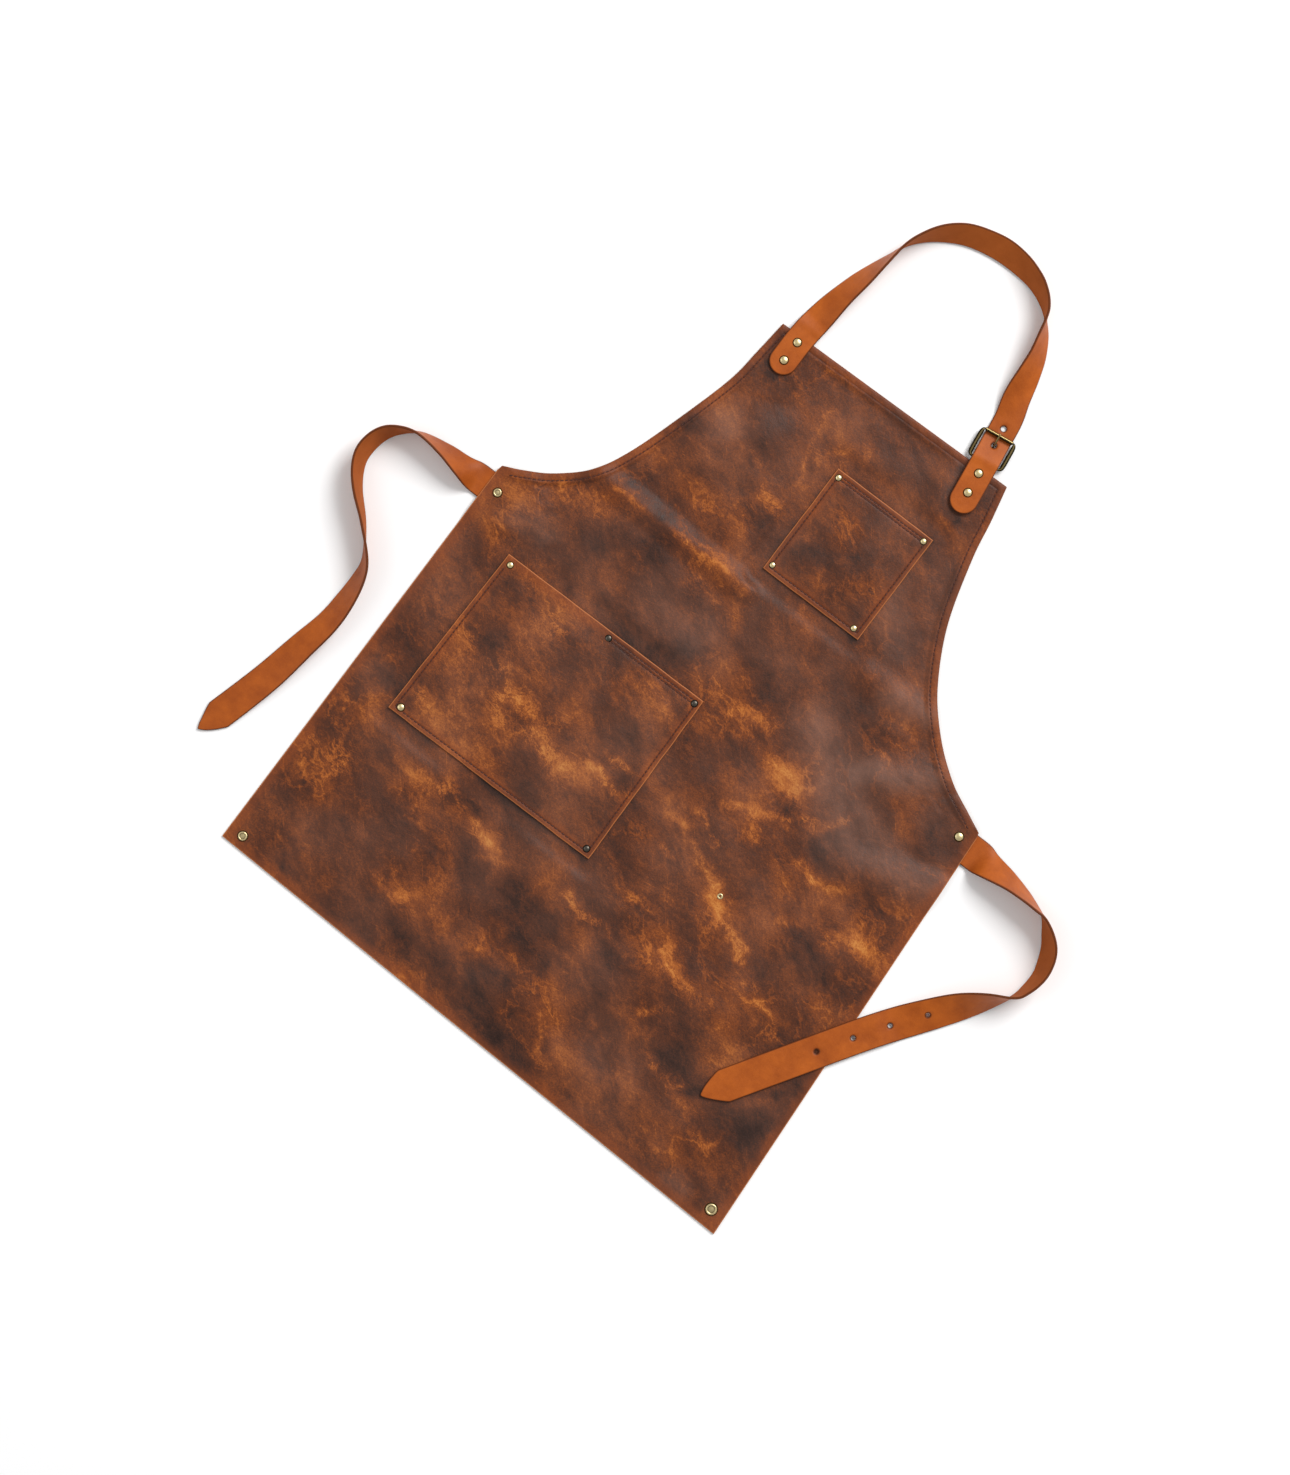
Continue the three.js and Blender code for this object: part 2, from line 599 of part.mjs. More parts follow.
class Strap {
  // route: points with x, y and lean in z; inner: 1 where the inside of the bend is on its left, else -1
  constructor(route, width, inner, slope, ground) {
    this.path = new THREE.CatmullRomCurve3(route, false, 'catmullrom', 0.5);
    this.path.arcLengthDivisions = route.length * 20;
    this.plan = new THREE.CatmullRomCurve3(
      route.map((p) => new THREE.Vector3(p.x, p.y, 0)),
      false,
      'catmullrom',
      0.5,
    );
    this.plan.arcLengthDivisions = route.length * 20;
    this.length = this.plan.getLength();
    this.width = width;
    this.inner = inner;
    this.slope = slope;
    this.ground = ground;
  }

  // Middle line, directions and lean at a distance from the start
  station(distance) {
    const t = this.plan.getUtoTmapping(clamp(distance / this.length, 0, 1));
    const here = this.path.getPoint(t);
    const ahead = this.plan.getTangent(t);
    const inward = new THREE.Vector3(-ahead.y, ahead.x, 0).multiplyScalar(this.inner).normalize();
    const lean = degToRad(clamp(here.z, 0, 180));
    return { here, inward, lean };
  }

  need(distance) {
    const { here, inward, lean } = this.station(distance);
    const half = (this.width / 2) * Math.abs(Math.cos(lean));
    let height = 0;
    for (const aside of [-1, -0.5, 0, 0.5, 1]) {
      const spot = flat(here.x + inward.x * aside * half, here.y + inward.y * aside * half);
      height = Math.max(height, this.ground(spot));
    }
    return height;
  }

  // The strap comes down from what it lies on no steeper than its slope
  seats(distances) {
    const needs = distances.map((distance) => this.need(distance));
    return distances.map((distance) =>
      needs.reduce((most, need, i) => Math.max(most, need - Math.abs(distances[i] - distance) * this.slope), 0),
    );
  }

  // Distances of the sections: closer over the last stretch, whose length is given, and at the tips
  distances(startTip, endTip, leg) {
    const steps = Math.round((this.length - startTip - leg) / STRAP_STEP);
    const legSteps = Math.round((leg - endTip) / LEG_STEP);
    const list = [];
    for (let i = 0; i < TIP_STEPS && startTip > 0; i++) {
      list.push(startTip * (1 - Math.cos((i / TIP_STEPS) * (Math.PI / 2))));
    }
    for (let i = 0; i <= steps; i++) list.push(lerp(startTip, this.length - leg, i / steps));
    for (let i = 1; i <= legSteps; i++) list.push(lerp(this.length - leg, this.length - endTip, i / legSteps));
    for (let i = TIP_STEPS - 1; i >= 0 && endTip > 0; i--) {
      list.push(this.length - endTip * (1 - Math.cos((i / TIP_STEPS) * (Math.PI / 2))));
    }
    return list;
  }

  // halfWidth(distance) gives the cut's half width
  geometry(distances, halfWidth) {
    const seats = this.seats(distances);
    return shapedBlock(1, distances.length - 1, (column, row, side) => {
      const { here, inward, lean } = this.station(distances[row]);
      const half = halfWidth(distances[row]);
      const low = (half * Math.abs(Math.sin(lean)) + (STRAP_HIDE / 2) * Math.abs(Math.cos(lean)));
      const middle = new THREE.Vector3(here.x, here.y, seats[row] + low);
      const across = inward.clone().multiplyScalar(Math.cos(lean)).setZ(Math.sin(lean));
      const face = inward.clone().multiplyScalar(-Math.sin(lean)).setZ(Math.cos(lean));
      const edge = (column - 0.5) * 2 * half * this.inner;
      return middle.addScaledVector(across, -edge).addScaledVector(face, (side - 0.5) * STRAP_HIDE);
    });
  }

  seatAt(distance) {
    const span = [];
    for (let d = 0; d <= this.length; d += 1) span.push(d);
    return span.reduce((most, d) => Math.max(most, this.need(d) - Math.abs(d - distance) * this.slope), 0);
  }

  spot(distance) {
    const { here } = this.station(distance);
    return flat(here.x, here.y);
  }
}

function roundTip(width, radius, toEnd) {
  if (toEnd >= radius) return width / 2;
  const inset = radius - toEnd;
  const corner = Math.sqrt(Math.max(radius * radius - inset * inset, 0)) / radius;
  return (width / 2) * Math.max(corner, 0.25);
}

function pointedTip(width, point, toEnd) {
  if (toEnd >= point) return width / 2;
  return (width / 2) * Math.max(Math.sqrt(toEnd / point), 0.08);
}

// Ties
function tieGeometry(stations, rivet, reach, drop, width, inner, ground, holes) {
  const route = stations.map((s) => {
    const point = tiePoint(s, rivet, reach, drop);
    return new THREE.Vector3(point.x, point.y, s.lean);
  });
  const strap = new Strap(route, width, inner, TIE_SLOPE, ground);
  const distances = strap.distances(0, TIE_POINT, TIE_POINT);
  const band = strap.geometry(distances, (d) => pointedTip(width, TIE_POINT, strap.length - d));
  const holeRods = holes.map((fromTip) => {
    const spot = strap.spot(strap.length - fromTip);
    return rod(spot.x, spot.y, -5, 40, TIE_HOLE);
  });
  return cut(band, [...holeRods, postHole(rivet), capSeat(rivet, 0)]);
}

// A tie starts under the hide, so only what is well away from its rivet lies on the hide.
function groundAwayFrom(rivet, reach) {
  return (spot) => (spot.distanceTo(rivet) > reach ? groundUnder(spot) : 0);
}

const tieHoles = Array.from({ length: TIE_HOLE_COUNT }, (_, i) => TIE_HOLE_START + i * TIE_HOLE_PITCH);
const tieLeft = tieGeometry(
  TIE_LEFT_ROUTE,
  waistRivetLeft,
  -TIE_LEFT_REACH,
  TIE_LEFT_DROP,
  TIE_LEFT_WIDTH,
  1,
  () => 0,
  [],
);
const tieRight = tieGeometry(
  TIE_RIGHT_ROUTE,
  waistRivetRight,
  TIE_RIGHT_REACH,
  TIE_RIGHT_DROP,
  TIE_RIGHT_WIDTH,
  -1,
  groundAwayFrom(waistRivetRight, TIE_RIGHT_WIDTH * 2.5),
  tieHoles,
);
addPiece('tie_left', tieLeft, strapLeather);
addPiece('tie_right', tieRight, strapLeather);

// Chape: a folded strip round the buckle's hinge bar, riveted under the neck strap's end.
// Its side view is drawn with x along the strap's leg and y as height.
const chapeSeat = HIDE * 2 + GAP;
const chapeTop = chapeSeat + CHAPE_HIDE * 2 + GAP;
const loopBore = BUCKLE_WIRE / 2 + GAP * 1.8;
const loopOuter = loopBore + CHAPE_HIDE;
const chapeEnd = -NECK_RIVET_PITCH - BACK_CAP;

function chapeGeometry() {
  const outer = new THREE.Shape();
  outer.moveTo(chapeEnd, chapeSeat);
  outer.lineTo(BUCKLE_HINGE - loopOuter - TURN_EASE / 2, chapeSeat);
  outer.absarc(BUCKLE_HINGE, BUCKLE_Z, loopOuter, degToRad(195), degToRad(495), false);
  outer.lineTo(BUCKLE_HINGE - loopOuter - TURN_EASE / 2, chapeTop);
  outer.lineTo(chapeEnd, chapeTop);
  outer.lineTo(chapeEnd, chapeTop - CHAPE_HIDE);
  outer.lineTo(BUCKLE_HINGE - loopOuter, chapeTop - CHAPE_HIDE);
  outer.absarc(BUCKLE_HINGE, BUCKLE_Z, loopBore, degToRad(150), degToRad(-150), true);
  outer.lineTo(BUCKLE_HINGE - loopOuter, chapeSeat + CHAPE_HIDE);
  outer.lineTo(chapeEnd, chapeSeat + CHAPE_HIDE);
  const settings = { depth: CHAPE_WIDTH, bevelEnabled: false, curveSegments: 5 };
  const geometry = new THREE.ExtrudeGeometry(outer, settings);
  geometry.translate(0, 0, -CHAPE_WIDTH / 2);
  return geometry;
}

// From a side view drawn in x and y to the leg: x along the leg, y up, z across
function standOnLeg(geometry) {
  const turn = new THREE.Matrix4().makeBasis(
    new THREE.Vector3(legUp.x, legUp.y, 0),
    new THREE.Vector3(0, 0, 1),
    new THREE.Vector3(legRight.x, legRight.y, 0),
  );
  geometry.applyMatrix4(turn);
  geometry.translate(neckRight.x, neckRight.y, 0);
  return geometry;
}

function chape() {
  const slot = new THREE.BoxGeometry(loopOuter * 4, chapeTop * 4, PRONG_WIRE + GAP * 4);
  slot.translate(BUCKLE_HINGE + loopOuter, 0, 0);
  const holes = [neckSpots[2], neckSpots[3]].map(({ at }) => postHole(at));
  return cut(standOnLeg(chapeGeometry()), [standOnLeg(slot), ...holes]);
}

addPiece('buckle_chape', chape(), strapLeather);

// Buckle frame, drawn flat: x across, y along the leg from the hinge bar
function halfFrame(shape, half, wide, length, start, corner) {
  shape.moveTo(-half + corner * 1.6, start);
  shape.lineTo(half - corner * 1.6, start);
  shape.quadraticCurveTo(half + corner * 0.2, start, wide, start + corner * 2);
  shape.quadraticCurveTo(wide + corner * 0.15, start + length * 0.5, half, start + length);
  shape.lineTo(-half, start + length);
  shape.quadraticCurveTo(-wide - corner * 0.15, start + length * 0.5, -wide, start + corner * 2);
  shape.quadraticCurveTo(-half - corner * 0.2, start, -half + corner * 1.6, start);
}

function frameGeometry() {
  const wide = BUCKLE_WIDTH / 2;
  const inside = ROLLER_LENGTH / 2 + GAP;
  const outerShape = new THREE.Shape();
  halfFrame(
    outerShape,
    inside + BUCKLE_ARM,
    wide,
    BUCKLE_LENGTH + (BUCKLE_WIRE + BUCKLE_BAR) / 2,
    -BUCKLE_WIRE / 2,
    BUCKLE_ARM,
  );
  const hole = new THREE.Path();
  halfFrame(
    hole,
    inside,
    wide - BUCKLE_ARM,
    BUCKLE_LENGTH - (BUCKLE_WIRE + BUCKLE_BAR) / 2,
    BUCKLE_WIRE / 2,
    BUCKLE_ARM * 0.8,
  );
  outerShape.holes.push(hole);
  const geometry = new THREE.ExtrudeGeometry(outerShape, {
    depth: BUCKLE_WIRE - BUCKLE_CHAMFER * 2,
    bevelEnabled: true,
    bevelThickness: BUCKLE_CHAMFER,
    bevelSize: BUCKLE_CHAMFER,
    bevelOffset: -BUCKLE_CHAMFER,
    bevelSegments: 1,
    curveSegments: 5,
  });
  geometry.translate(0, 0, -BUCKLE_WIRE / 2 + BUCKLE_CHAMFER);
  return geometry;
}

// The buckle's own group stands on the leg at the hinge bar
const buckle = new THREE.Group();
buckle.position.set(onLeg(BUCKLE_HINGE, 0).x, onLeg(BUCKLE_HINGE, 0).y, BUCKLE_Z);
buckle.rotation.z = degToRad(BUCKLE_LEAN);
group.add(buckle);

function addBucklePiece(name, geometry) {
  const mesh = new THREE.Mesh(geometry, buckleBrass);
  mesh.name = name;
  buckle.add(mesh);
}

function rollerGeometry() {
  const half = ROLLER_LENGTH / 2;
  const outer = ROLLER_DIAMETER / 2;
  const bore = ROLLER_BORE / 2;
  const profile = [flat(bore, -half), flat(outer, -half), flat(outer, half), flat(bore, half), flat(bore, -half)];
  const geometry = new THREE.LatheGeometry(profile, SIDES);
  geometry.rotateZ(Math.PI / 2);
  geometry.translate(0, BUCKLE_LENGTH, 0);
  return geometry;
}

// The prong hangs by a ring on the hinge bar, runs under the strap, comes up through its hole
// and rests on the roller. Distances along are from the hinge bar, heights from its middle.
function prongGeometry(holeAlong, strapMiddle) {
  const clear = BUCKLE_WIRE / 2 + PRONG_WIRE / 2 + GAP;
  const overRoller = (ROLLER_DIAMETER + PRONG_WIRE) / 2 + GAP;
  const points = [
    { along: clear * 0.75, height: -clear * 0.75 },
    { along: clear * 1.6, height: strapMiddle - PRONG_WIRE * 0.9 },
    { along: holeAlong - PRONG_WIRE * 2.8, height: strapMiddle - PRONG_WIRE * 1.3 },
    { along: holeAlong - PRONG_WIRE * 1.6, height: strapMiddle - PRONG_WIRE * 1.3 },
    { along: holeAlong + PRONG_WIRE * 1.6, height: strapMiddle + PRONG_WIRE * 1.2 },
    { along: BUCKLE_LENGTH - ROLLER_DIAMETER / 2, height: overRoller },
    { along: BUCKLE_LENGTH + ROLLER_DIAMETER * 0.6, height: overRoller },
  ];
  const path = new THREE.CatmullRomCurve3(
    points.map((p) => new THREE.Vector3(0, p.along, p.height)),
    false,
    'catmullrom',
    0.3,
  );
  const section = new THREE.Shape();
  section.absarc(0, 0, PRONG_WIRE / 2, 0, Math.PI * 2, false);
  const shank = new THREE.ExtrudeGeometry(section, {
    steps: 14,
    bevelEnabled: false,
    extrudePath: path,
    curveSegments: 4,
  });
  const ring = new THREE.TorusGeometry(PRONG_RING, PRONG_RING_WIRE / 2, 6, SIDES);
  ring.rotateY(Math.PI / 2);
  return faceted(solid(shank).add(solid(ring)));
}

// The neck strap: left tab, loop, and the right leg through the buckle
const neckHoles = [
  BUCKLE_HINGE + BUCKLE_LENGTH - NECK_HOLE_PITCH / 2 - GAP * 3,
  BUCKLE_HINGE + BUCKLE_LENGTH + NECK_HOLE_PITCH / 2 - GAP * 3,
];
const neckLevel = (bibLeft.y + bibRight.y) / 2;
const neckRoute = [
  new THREE.Vector3(neckLeft.x, neckLeft.y - NECK_TAB, 0),
  new THREE.Vector3(neckLeft.x, neckLeft.y - NECK_TAB / 2, 0),
  new THREE.Vector3(neckLeft.x, neckLeft.y, 0),
  ...NECK_ROUTE.map(
    (s) =>
      new THREE.Vector3(
        lerp(neckLeft.x, neckRight.x, s.across),
        neckLevel + s.up * NECK_LOOP_RISE,
        s.lean,
      ),
  ),
  ...[neckHoles[1] + NECK_TAB / 4, neckHoles[0], 0, -NECK_TAB - NECK_RIVET_INSET].map((along) => {
    const spot = onLeg(along, 0);
    return new THREE.Vector3(spot.x, spot.y, 0);
  }),
];

// What the neck strap lies on: the chape and its loop at the right leg, the hide elsewhere
function neckGround(spot) {
  const from = spot.clone().sub(neckRight);
  const along = from.dot(legUp);
  const aside = Math.abs(from.dot(legRight));
  const hide = groundUnder(spot);
  if (aside > NECK_WIDTH || along < chapeEnd - NECK_TAB || along > BUCKLE_HINGE + loopOuter) return hide;
  const loop = along > BUCKLE_HINGE - loopOuter ? BUCKLE_Z + loopOuter : 0;
  return Math.max(hide, Math.max(chapeTop, loop) + GAP);
}

const neckStrap = new Strap(neckRoute, NECK_WIDTH, -1, BUCKLED_SLOPE, neckGround);
const legLength = NECK_TAB + NECK_RIVET_INSET + BUCKLE_HINGE + BUCKLE_LENGTH + NECK_HOLE_PITCH;
const neckDistances = neckStrap.distances(NECK_TIP_RADIUS, NECK_TIP_RADIUS, legLength);
const neckBand = neckStrap.geometry(neckDistances, (d) =>
  roundTip(NECK_WIDTH, NECK_TIP_RADIUS, Math.min(d, neckStrap.length - d)),
);
const legStart = neckStrap.length - NECK_TAB - NECK_RIVET_INSET;
const holeRods = neckHoles.map((along) => rod(onLeg(along, 0).x, onLeg(along, 0).y, -5, 40, NECK_HOLE));
const neckCuts = [...holeRods, ...neckSpots.map(({ at }) => postHole(at))];
addPiece('neck_strap', cut(neckBand, neckCuts), strapLeather);

neckSpots.forEach(({ name, at }, i) => {
  const along = i === 0 ? NECK_TAB : NECK_TAB - NECK_RIVET_PITCH;
  const distance = i < 2 ? along : legStart + (i - 2) * NECK_RIVET_PITCH;
  const seats = [-1, 0, 1].map((side) => neckStrap.seatAt(distance + (side * NECK_CAP) / 2));
  const top = Math.max(...seats) + STRAP_HIDE;
  addRivet(name, at, hideLift(at), top, NECK_CAP, false, brass);
});

const prongHole = neckHoles[0];
const strapMiddle = neckStrap.seatAt(legStart - prongHole) + STRAP_HIDE / 2 - BUCKLE_Z;
addBucklePiece('buckle_frame', frameGeometry());
addBucklePiece('buckle_roller', rollerGeometry());
addBucklePiece('buckle_prong', prongGeometry(prongHole - BUCKLE_HINGE, strapMiddle));

export default group;
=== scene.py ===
"""Leather work apron, laid flat with its straps as they fall: hide, pockets, straps, thread and brass.

Sizes are in millimetres in the row frame, X across the apron, Y up towards the bib, Z up from the table.
"""

import logging
import math
from dataclasses import dataclass, field
from enum import Enum
from functools import cached_property
from typing import Any, Callable, Sequence

import bmesh
import bpy
import numpy as np
from mathutils import Matrix, Vector, noise

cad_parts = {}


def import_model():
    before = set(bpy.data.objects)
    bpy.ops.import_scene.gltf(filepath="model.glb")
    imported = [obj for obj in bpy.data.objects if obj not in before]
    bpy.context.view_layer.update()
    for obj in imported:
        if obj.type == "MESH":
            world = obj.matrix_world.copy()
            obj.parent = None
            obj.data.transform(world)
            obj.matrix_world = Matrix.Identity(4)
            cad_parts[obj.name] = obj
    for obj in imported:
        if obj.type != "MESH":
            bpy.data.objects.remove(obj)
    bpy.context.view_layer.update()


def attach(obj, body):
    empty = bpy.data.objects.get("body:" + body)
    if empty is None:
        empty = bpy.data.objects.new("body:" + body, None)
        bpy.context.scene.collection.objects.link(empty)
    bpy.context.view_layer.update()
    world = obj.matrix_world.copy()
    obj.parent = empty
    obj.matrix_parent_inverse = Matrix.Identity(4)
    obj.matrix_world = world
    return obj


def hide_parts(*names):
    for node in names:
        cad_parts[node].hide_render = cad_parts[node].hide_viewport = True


LOG = logging.getLogger("apron")
MM = 0.001
# Thickness of the hide, the straps and the chape, and the air between layers
HIDE = 2.0
STRAP_HIDE = 2.7
CHAPE_HIDE = 1.6
GAP = 0.3
# Back caps stand so far under the hide that they show from below
FOOT = -0.08
# Corners closer than this are one
MERGE = 0.001
# Settings that many nodes share
SMOOTH = {"interpolation_type": "SMOOTHSTEP"}
MIXED = {"data_type": "RGBA"}
SCALED = {"operation": "MULTIPLY_ADD"}
TIMES = {"operation": "MULTIPLY"}
MINUS = {"operation": "SUBTRACT"}
GroundRule = Callable[[np.ndarray], np.ndarray]


class Slot(Enum):
    """Material slots of the record."""

    APRON = "apron_leather"
    STRAP = "strap_leather"
    BRASS = "rivet_brass"
    BLACK = "blackened_brass"
    BUCKLE = "buckle_brass"


class Tip(Enum):
    """How a strap's end is cut."""

    SQUARE = "square"
    ROUND = "round"
    POINTED = "pointed"


class Cap(Enum):
    """How a rivet's cap is pressed."""

    DOMED = "domed"
    RINGED = "ringed"


# Plain geometry in numbers


def smoothstep(value: np.ndarray, low: float, high: float) -> np.ndarray:
    """Smooth step of numbers, from 0 at low to 1 at high."""
    share = np.clip((value - low) / (high - low), 0.0, 1.0)
    return share * share * (3.0 - 2.0 * share)


def spline(stations: np.ndarray, shares: np.ndarray, overrun: bool) -> np.ndarray:
    """Smooth curve through stations.

    Args:
        stations: Points that the curve passes, one row each.
        shares: Places along it, from 0 to 1, evenly by station.
        overrun: Whether the ends run straight on past the last stations.

    Returns:
        A point for each share.
    """
    before = 2 * stations[0] - stations[1] if overrun else stations[0]
    after = 2 * stations[-1] - stations[-2] if overrun else stations[-1]
    padded = np.vstack([before, stations, after])
    place = shares * (len(stations) - 1)
    index = np.clip(np.floor(place).astype(int), 0, len(stations) - 2)
    w = (place - index)[:, None]
    p0, p1, p2, p3 = (padded[index + k] for k in range(4))
    v0, v1 = (p2 - p0) * 0.5, (p3 - p1) * 0.5
    return (2 * p1 - 2 * p2 + v0 + v1) * w**3 + (3 * p2 - 3 * p1 - 2 * v0 - v1) * w**2 + v0 * w + p1


def distance_to_segment(points: np.ndarray, start: Sequence[float], end: Sequence[float]) -> np.ndarray:
    """Distances of points from a straight stretch.

    Args:
        points: Points in plan.
        start: First end of the stretch.
        end: Other end.

    Returns:
        One distance for each point.
    """
    start, end = np.asarray(start), np.asarray(end)
    run = end - start
    share = np.clip(((points - start) @ run) / max(float(run @ run), 1e-9), 0.0, 1.0)
    return np.linalg.norm(points - (start + share[:, None] * run), axis=1)


def distance_to_line(points: np.ndarray, line: np.ndarray) -> np.ndarray:
    """Distances of points from a line of many stretches.

    Args:
        points: Points in plan.
        line: Points of the line in order.

    Returns:
        One distance for each point.
    """
    nearest = np.full(len(points), np.inf)
    for start, end in zip(line[:-1], line[1:]):
        nearest = np.minimum(nearest, distance_to_segment(points, start, end))
    return nearest


def relief(points: np.ndarray, wavelength: float, octaves: int = 2) -> np.ndarray:
    """Smooth, repeatable unevenness from about -1 to 1 at points, its swells of one size with finer ones in them."""
    scaled = points / wavelength
    return np.array([noise.fractal(Vector((x, y, 0.37)), 1.0, 2.0, octaves) for x, y in scaled])


def lengths(line: np.ndarray) -> np.ndarray:
    """Distance along a line of points at each of them."""
    return np.concatenate([[0], np.cumsum(np.linalg.norm(np.diff(line, axis=0), axis=1))])


def graded(length: float, edges: Sequence[float], spacing: float) -> np.ndarray:
    """Places along a length: close together at both ends, even between.

    Args:
        length: Whole length.
        edges: Distances from each end at which lines lie.
        spacing: Distance between lines elsewhere.

    Returns:
        Places from 0 to the length.
    """
    inner = edges[-1]
    count = max(int(round((length - 2 * inner) / spacing)), 1)
    middle = np.linspace(inner, length - inner, count + 1)[1:-1]
    return np.concatenate([edges, middle, length - np.array(edges)[::-1]])


# Making pieces


def linear(colour: str) -> tuple[float, float, float, float]:
    """Linear colour of an sRGB hex value.

    Args:
        colour: Six hex digits after a hash.

    Returns:
        Red, green, blue and full alpha.
    """
    parts = [int(colour[i : i + 2], 16) / 255 for i in (1, 3, 5)]
    red, green, blue = (c / 12.92 if c <= 0.04045 else ((c + 0.055) / 1.055) ** 2.4 for c in parts)
    return (red, green, blue, 1.0)


def add_node(tree: bpy.types.NodeTree, kind: str, settings: dict[str, Any], links: dict[Any, Any]) -> bpy.types.Node:
    """Adds a node.

    Args:
        tree: Node tree that gets it.
        kind: Blender's name for the kind of shader node, without its prefix.
        settings: Its properties; stops fills a colour ramp with places and hex colours.
        links: For each input, a socket or a node whose first output is linked, or a value to set.

    Returns:
        The new node.
    """
    node = tree.nodes.new("ShaderNode" + kind)
    for name, value in settings.items():
        if name == "stops":
            stops = node.color_ramp.elements
            while len(stops) < len(value):
                stops.new(0.5)
            for stop, (place, colour) in zip(stops, value):
                stop.position = place
                stop.color = linear(colour)
        else:
            setattr(node, name, value)
    for name, value in links.items():
        source = value.outputs[0] if isinstance(value, bpy.types.Node) else value
        if isinstance(source, bpy.types.NodeSocket):
            tree.links.new(source, node.inputs[name])
        else:
            node.inputs[name].default_value = source
    return node


def bare_material(name: str) -> tuple[bpy.types.Material, bpy.types.NodeTree, bpy.types.NodeSocket]:
    """Makes a material that has nothing but the object's own coordinates.

    Args:
        name: Its name.

    Returns:
        The material, its node tree and the coordinates.
    """
    material = bpy.data.materials.new(name)
    material.use_nodes = True
    tree = material.node_tree
    tree.nodes.clear()
    return material, tree, add_node(tree, "TexCoord", {}, {}).outputs["Object"]


def finish_piece(
    name: str,
    shape: bmesh.types.BMesh,
    material: bpy.types.Material,
    nodes: Sequence[str],
    sharp: float = 50.0,
) -> bpy.types.Object:
    """Makes a shape a piece of the apron.

    Args:
        name: The piece's name.
        shape: Its mesh in metres, which is freed.
        material: Its finish.
        nodes: Nodes of the frame that the piece stands for.
        sharp: Edges that turn by more degrees than this stay sharp.

    Returns:
        The new object.
    """
    bmesh.ops.recalc_face_normals(shape, faces=shape.faces)
    mesh = bpy.data.meshes.new(name)
    shape.to_mesh(mesh)
    shape.free()
    mesh.polygons.foreach_set("use_smooth", np.ones(len(mesh.polygons), bool))
    mesh.set_sharp_from_angle(angle=math.radians(sharp))
    mesh.materials.append(material)
    piece = bpy.data.objects.new(name, mesh)
    bpy.context.scene.collection.objects.link(piece)
    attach(piece, "root")
    if nodes:
        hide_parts(*nodes)
    LOG.info("%s: %d faces", name, len(mesh.polygons))
    return piece


class Slab:
    """A closed sheet of leather as a grid of cells whose corners are placed by rule."""

    def __init__(self, columns: int, rows: int, punched: Sequence[tuple[float, float, float, float]] = ()) -> None:
        """Makes the grid, takes out the punched cells and pulls the other face up.

        Args:
            columns: Cells across.
            rows: Cells along.
            punched: Middle column and row of each hole, and its reach in columns and rows.
        """
        self.shape = bmesh.new()
        bmesh.ops.create_grid(self.shape, x_segments=columns, y_segments=rows, size=0.5)
        for vert in self.shape.verts:
            vert.co.x = round((vert.co.x + 0.5) * columns)
            vert.co.y = round((vert.co.y + 0.5) * rows)
        for column, row, reach_x, reach_y in punched:
            inside = []
            for face in self.shape.faces:
                middle = face.calc_center_median()
                if abs(middle.x - column) < reach_x and abs(middle.y - row) < reach_y:
                    inside.append(face)
            bmesh.ops.delete(self.shape, geom=inside, context="FACES")
        pulled = bmesh.ops.extrude_face_region(self.shape, geom=self.shape.faces[:], use_keep_orig=True)
        tops = [item for item in pulled["geom"] if isinstance(item, bmesh.types.BMVert)]
        bmesh.ops.translate(self.shape, verts=tops, vec=(0, 0, 1))
        spots = np.array([vert.co for vert in self.shape.verts])
        self.column = np.rint(spots[:, 0]).astype(int)
        self.row = np.rint(spots[:, 1]).astype(int)
        self.side = np.rint(spots[:, 2])

    def place(self, spots: np.ndarray, marks: dict[str, np.ndarray]) -> bmesh.types.BMesh:
        """Moves the corners to their places.

        Args:
            spots: Places in millimetres.
            marks: Numbers for the finish to read, by name, one for each corner.

        Returns:
            The shape in metres.
        """
        layers = {name: self.shape.verts.layers.float.new(name) for name in marks}
        self.shape.verts.ensure_lookup_table()
        for index, vert in enumerate(self.shape.verts):
            vert.co = spots[index] * MM
            for name, layer in layers.items():
                vert[layer] = float(marks[name][index])
        return self.shape


def rounded(edge: np.ndarray, radius: float, least: float) -> np.ndarray:
    """Share of the thickness at distances from an edge that is rounded over a radius, down to a least share."""
    inward = 1.0 - np.clip(edge / radius, 0.0, 1.0)
    return least + (1.0 - least) * np.sqrt(1.0 - inward * inward)


# Finishes


